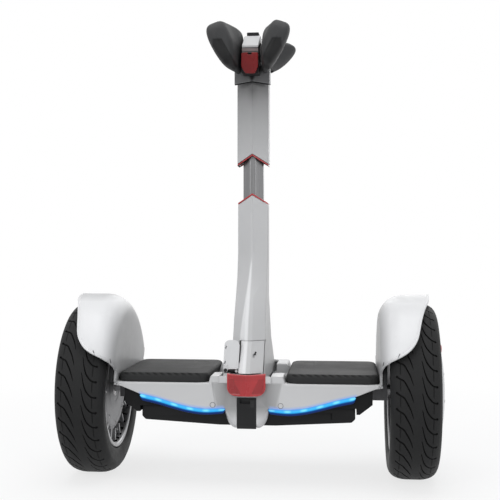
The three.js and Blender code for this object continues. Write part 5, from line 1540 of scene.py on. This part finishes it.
def column_details():
    """The dark slot in the rear panel, and a dark bead laid in the gap beside the lever as painted shade, on
    the column's faces.
    """
    slot = on_face("stem_rear_panel", [(11.5, 189.0), (10.3, 186.2), (11.2, 185.2), (9.7, 182.0)], 0.1)
    # A dark bead along the lever's side, as painted shade in the gap.
    gap_shade = on_face("lower_stem", [(-10.9 - 0.02 * (z - 163), z) for z in range(164, 205, 4)], -0.6)
    pieces = [bead("slot", slot, 1.15, "casting"), bead("gap_shade", gap_shade, 1.5, "gloss")]
    return place(joined("column_details", *pieces), "steering_bar", "black_plastic")


def column_skirts():
    """Two thin skirts at the column's foot, that hide the slot in which it leans."""
    inner, low, high, chamfer = 26.5, 147.4, 157.2, 2
    skirts = []
    for side, reach in ((-1, 38.6), (1, 34.6)):
        outline = [(inner, low), (reach, low), (reach, high - chamfer), (reach - 1.8, high), (inner, high)]
        skirt = slab("skirt", [(side * x, z) for x, z in outline], (-91.0, -88.5), "Y", "deck white")
        skirts.append(bevelled(skirt, 0.5))
    return place(joined("column_skirts", *skirts), "steering_bar", "white_casing")


def collar():
    """The collar's ring, narrowed towards its front, with the rear plate."""
    ring = copied("collar", "collar black")
    for vertex in ring.data.vertices:
        if abs(vertex.co.x) > 0.0237:
            vertex.co.x *= 0.945 - (vertex.co.y + 0.0085) * 1.3
    bevelled(ring, 0.9)
    return place(joined("collar.dressed", ring, collar_face()), "height_slider", "black_plastic", "collar")


def trigger():
    """The trigger with its corners cut and a notch in its upper edge."""
    bar = copied("height_trigger", "red trigger")
    cuts = ([(13, 590), (5.6, 590), (13, 600.5)], [(13, 621.5), (10.4, 621.5), (13, 617.6)])
    corners = [slab("corner", [(side * x, z) for x, z in cut], (-50, -20), "Y", "red trigger")
               for side in (-1, 1) for cut in cuts]
    notch = slab("notch", [(-2.2, 622), (2.2, 622), (1.6, 618.6), (-1.6, 618.6)], (-50, -41), "Y", "black")
    bevelled(drilled(bar, *corners, notch), 0.9)
    return place(bar, "height_trigger", "red_plastic", "height_trigger")


def handle():
    """The handle, its raised cap and its frame."""
    softened("handle", "height_slider", "white", "white_casing", 1.4, segments=4)
    cap = copied("handle_cap", "black")
    for vertex in cap.data.vertices:
        if vertex.co.z > 0.657:
            vertex.co.z += 2.2 * MM
    place(bevelled(cap, 1.2), "height_slider", "black_plastic", "handle_cap")
    softened("head_frame", "height_slider", "black", "black_plastic", 0.9)


def handle_lip():
    """The pale lip over the trigger, with a black line under it."""
    lip = bevelled(box("lip", (-12.0, 12.0), (-38.9, -37.2), (623.6, 628.3), "lip"), 0.5)
    line = bevelled(box("line", (-12.1, 12.1), (-38.5, -37.0), (621.2, 623.8), "gloss"), 0.3)
    return place(joined("handle_lip", lip, line), "height_slider", "silver_metal")


def column():
    stem = eased(copied("lower_stem", "stem white"), 1.1, lambda a, b: 1.0 if a.z + b.z > 310 else 0.35)
    place(stem, "steering_bar", "white_casing", "lower_stem")
    softened("stem_rear_panel", "steering_bar", "stem white", "white_casing", 0.35)
    softened("stem_trim", "steering_bar", "red trim", "red_plastic", 0.5)
    softened("pole_bush", "steering_bar", "black", "black_plastic", 0.3)
    softened("pole", "height_slider", "pole", "silver_metal", 1.6, segments=4)
    # The undersides of the sleeve and its trim are black as painted shade.
    painted_underside_shade(softened("upper_sleeve", "height_slider", "sleeve", "grey_paint", 1.4, segments=4))
    painted_underside_shade(softened("sleeve_trim", "height_slider", "red trim", "red_plastic", 0.5))
    parts = (column_details, column_skirts, foot_cover, lock_lever, lever_latch, spring_coil, handle,
             collar, trigger, handle_lip)
    for build in parts:
        build()


def chassis():
    deck()
    softened("chassis_frame", "chassis", "casting", "black_casting", 0.8)
    case = bevelled(copied("battery_case", "battery"), 1.8)
    latch = box("latch slot", (117.5, 119.3), (-78, -72.8), (95.5, 104.5))
    place(smooth(drilled(case, latch), 35), "chassis", "black_plastic", "battery_case")
    insert = bevelled(copied("rear_keel_insert", "black"), 0.4)
    tab = bevelled(box("tab", (5.2, 10.6), (-88.5, -84.5), (113.5, 124.2), "mat"), 0.4)
    whole = joined("rear_keel_insert.dressed", insert, tab)
    place(whole, "chassis", "black_plastic", "rear_keel_insert")
    softened("front_keel_insert", "chassis", "black", "black_plastic", 0.4)
    softened("headlight", "chassis", "lens", "white_light", 1.2)
    softened("status_display", "chassis", "gloss", "black_plastic", 0.3)
    softened("power_button", "power_button", "silver", "silver_metal", 0.5)
    softened("charge_port_cap", "charge_port_cap", "mat", "mat_rubber", 0.4)
    for word in SIDES:
        softened(word + "_axle_clamp", "chassis", "clamp", "silver_metal", 0.9)


def small_nodes():
    """CAD nodes inside the machine that show as they are."""
    carried("cells", "battery_cells")
    carried("board", "control_board")
    carried("black", "charge_socket")
    carried("steel along", "rear_steering_bearing", "front_steering_bearing", "steering_shaft", "lever_pin")
    for word in SIDES:
        carried("disc", word + "_foot_sensor")
        carried("steel", word + "_axle")
        carried("copper", word + "_stator")


# ---------------------------------------------------------------- stage
def sky():
    """White for what the camera sees, and a soft blue grey for the light on the piece."""
    world = bpy.data.worlds.new("studio")
    bpy.context.scene.world = world
    world.use_nodes = True
    world.node_tree.nodes.clear()
    g = Graph(world.node_tree)
    soft = g.add("ShaderNodeBackground", None, {"Color": (0.95, 0.97, 1.0, 1), "Strength": 0.54})
    white = g.add("ShaderNodeBackground", None, {"Color": (1, 1, 1, 1), "Strength": 1.0})
    mix = g.add("ShaderNodeMixShader", None, {0: g.in_sight(), 1: soft, 2: white})
    g.add("ShaderNodeOutputWorld", None, {"Surface": mix})


def floor():
    """A paper floor that keeps the shadow near the piece and turns plain white further out."""
    f = Finish("studio floor")
    paper = f.mixed(f.noise(35, 3), (0.86, 0.86, 0.86), (0.88, 0.88, 0.88))
    shader = f.add("ShaderNodeBsdfPrincipled", None, {"Base Color": paper, "Roughness": 0.9}, "BSDF")
    glow = f.add("ShaderNodeEmission", None, {"Color": (1, 1, 1, 1), "Strength": 1.0})
    across, along = f.axis("X"), f.axis("Y")
    far = f.ranged(across * across + along * along, 0.10, 1.1, 0.74, 1.0)
    lit = f.add("ShaderNodeMixShader", None, {0: f.in_sight() * far, 1: shader, 2: glow})
    f.add("ShaderNodeOutputMaterial", None, {"Surface": lit})
    FINISHES["floor"] = f.material
    size = 9000
    corners = [(-size, -size, 0), (size, -size, 0), (size, size, 0), (-size, size, 0)]
    new_object("floor", corners, [(0, 1, 2, 3)], "floor")


def lamp(name, at, aim, width, height, power):
    light = bpy.data.lights.new(name, "AREA")
    light.shape = "RECTANGLE"
    light.size, light.size_y, light.energy = width, height, power
    thing = linked(name, light)
    thing.location = at
    thing.rotation_euler = (Vector(aim) - Vector(at)).to_track_quat("-Z", "Y").to_euler()


def stage():
    sky()
    floor()
    lamp("overhead", (0, -0.2, 2.6), (0, 0, 0.2), 2.2, 1.8, 27)
    lamp("rear key", (-1.5, -2.2, 1.5), (0, 0, 0.3), 1.4, 1.6, 17)
    lamp("rear fill", (1.8, -2.0, 1.0), (0, 0, 0.25), 1.4, 1.4, 10)
    lamp("front fill", (0.4, 2.6, 1.4), (0, 0, 0.3), 2.0, 1.6, 13)
    camera = bpy.data.cameras.new("camera")
    camera.lens = 67.2
    camera.sensor_width = 36
    camera.clip_end = 50
    eye = linked("camera", camera)
    eye.location = (0.1377, -1.3908, 0.3342)
    eye.rotation_euler = (math.radians(90), 0, 0.1015)
    bpy.context.scene.camera = eye
    bpy.context.scene.view_settings.view_transform = "Standard"


def main():
    stage()
    chassis()
    column()
    for word, side in SIDES.items():
        for build in (tyre, rim, valve, motor_cover, wheel_bearing, hubcap, fender, arch_shade_plates, tail_light,
                      foot_mat, knee_pad):
            build(side, word)
    small_nodes()


main()
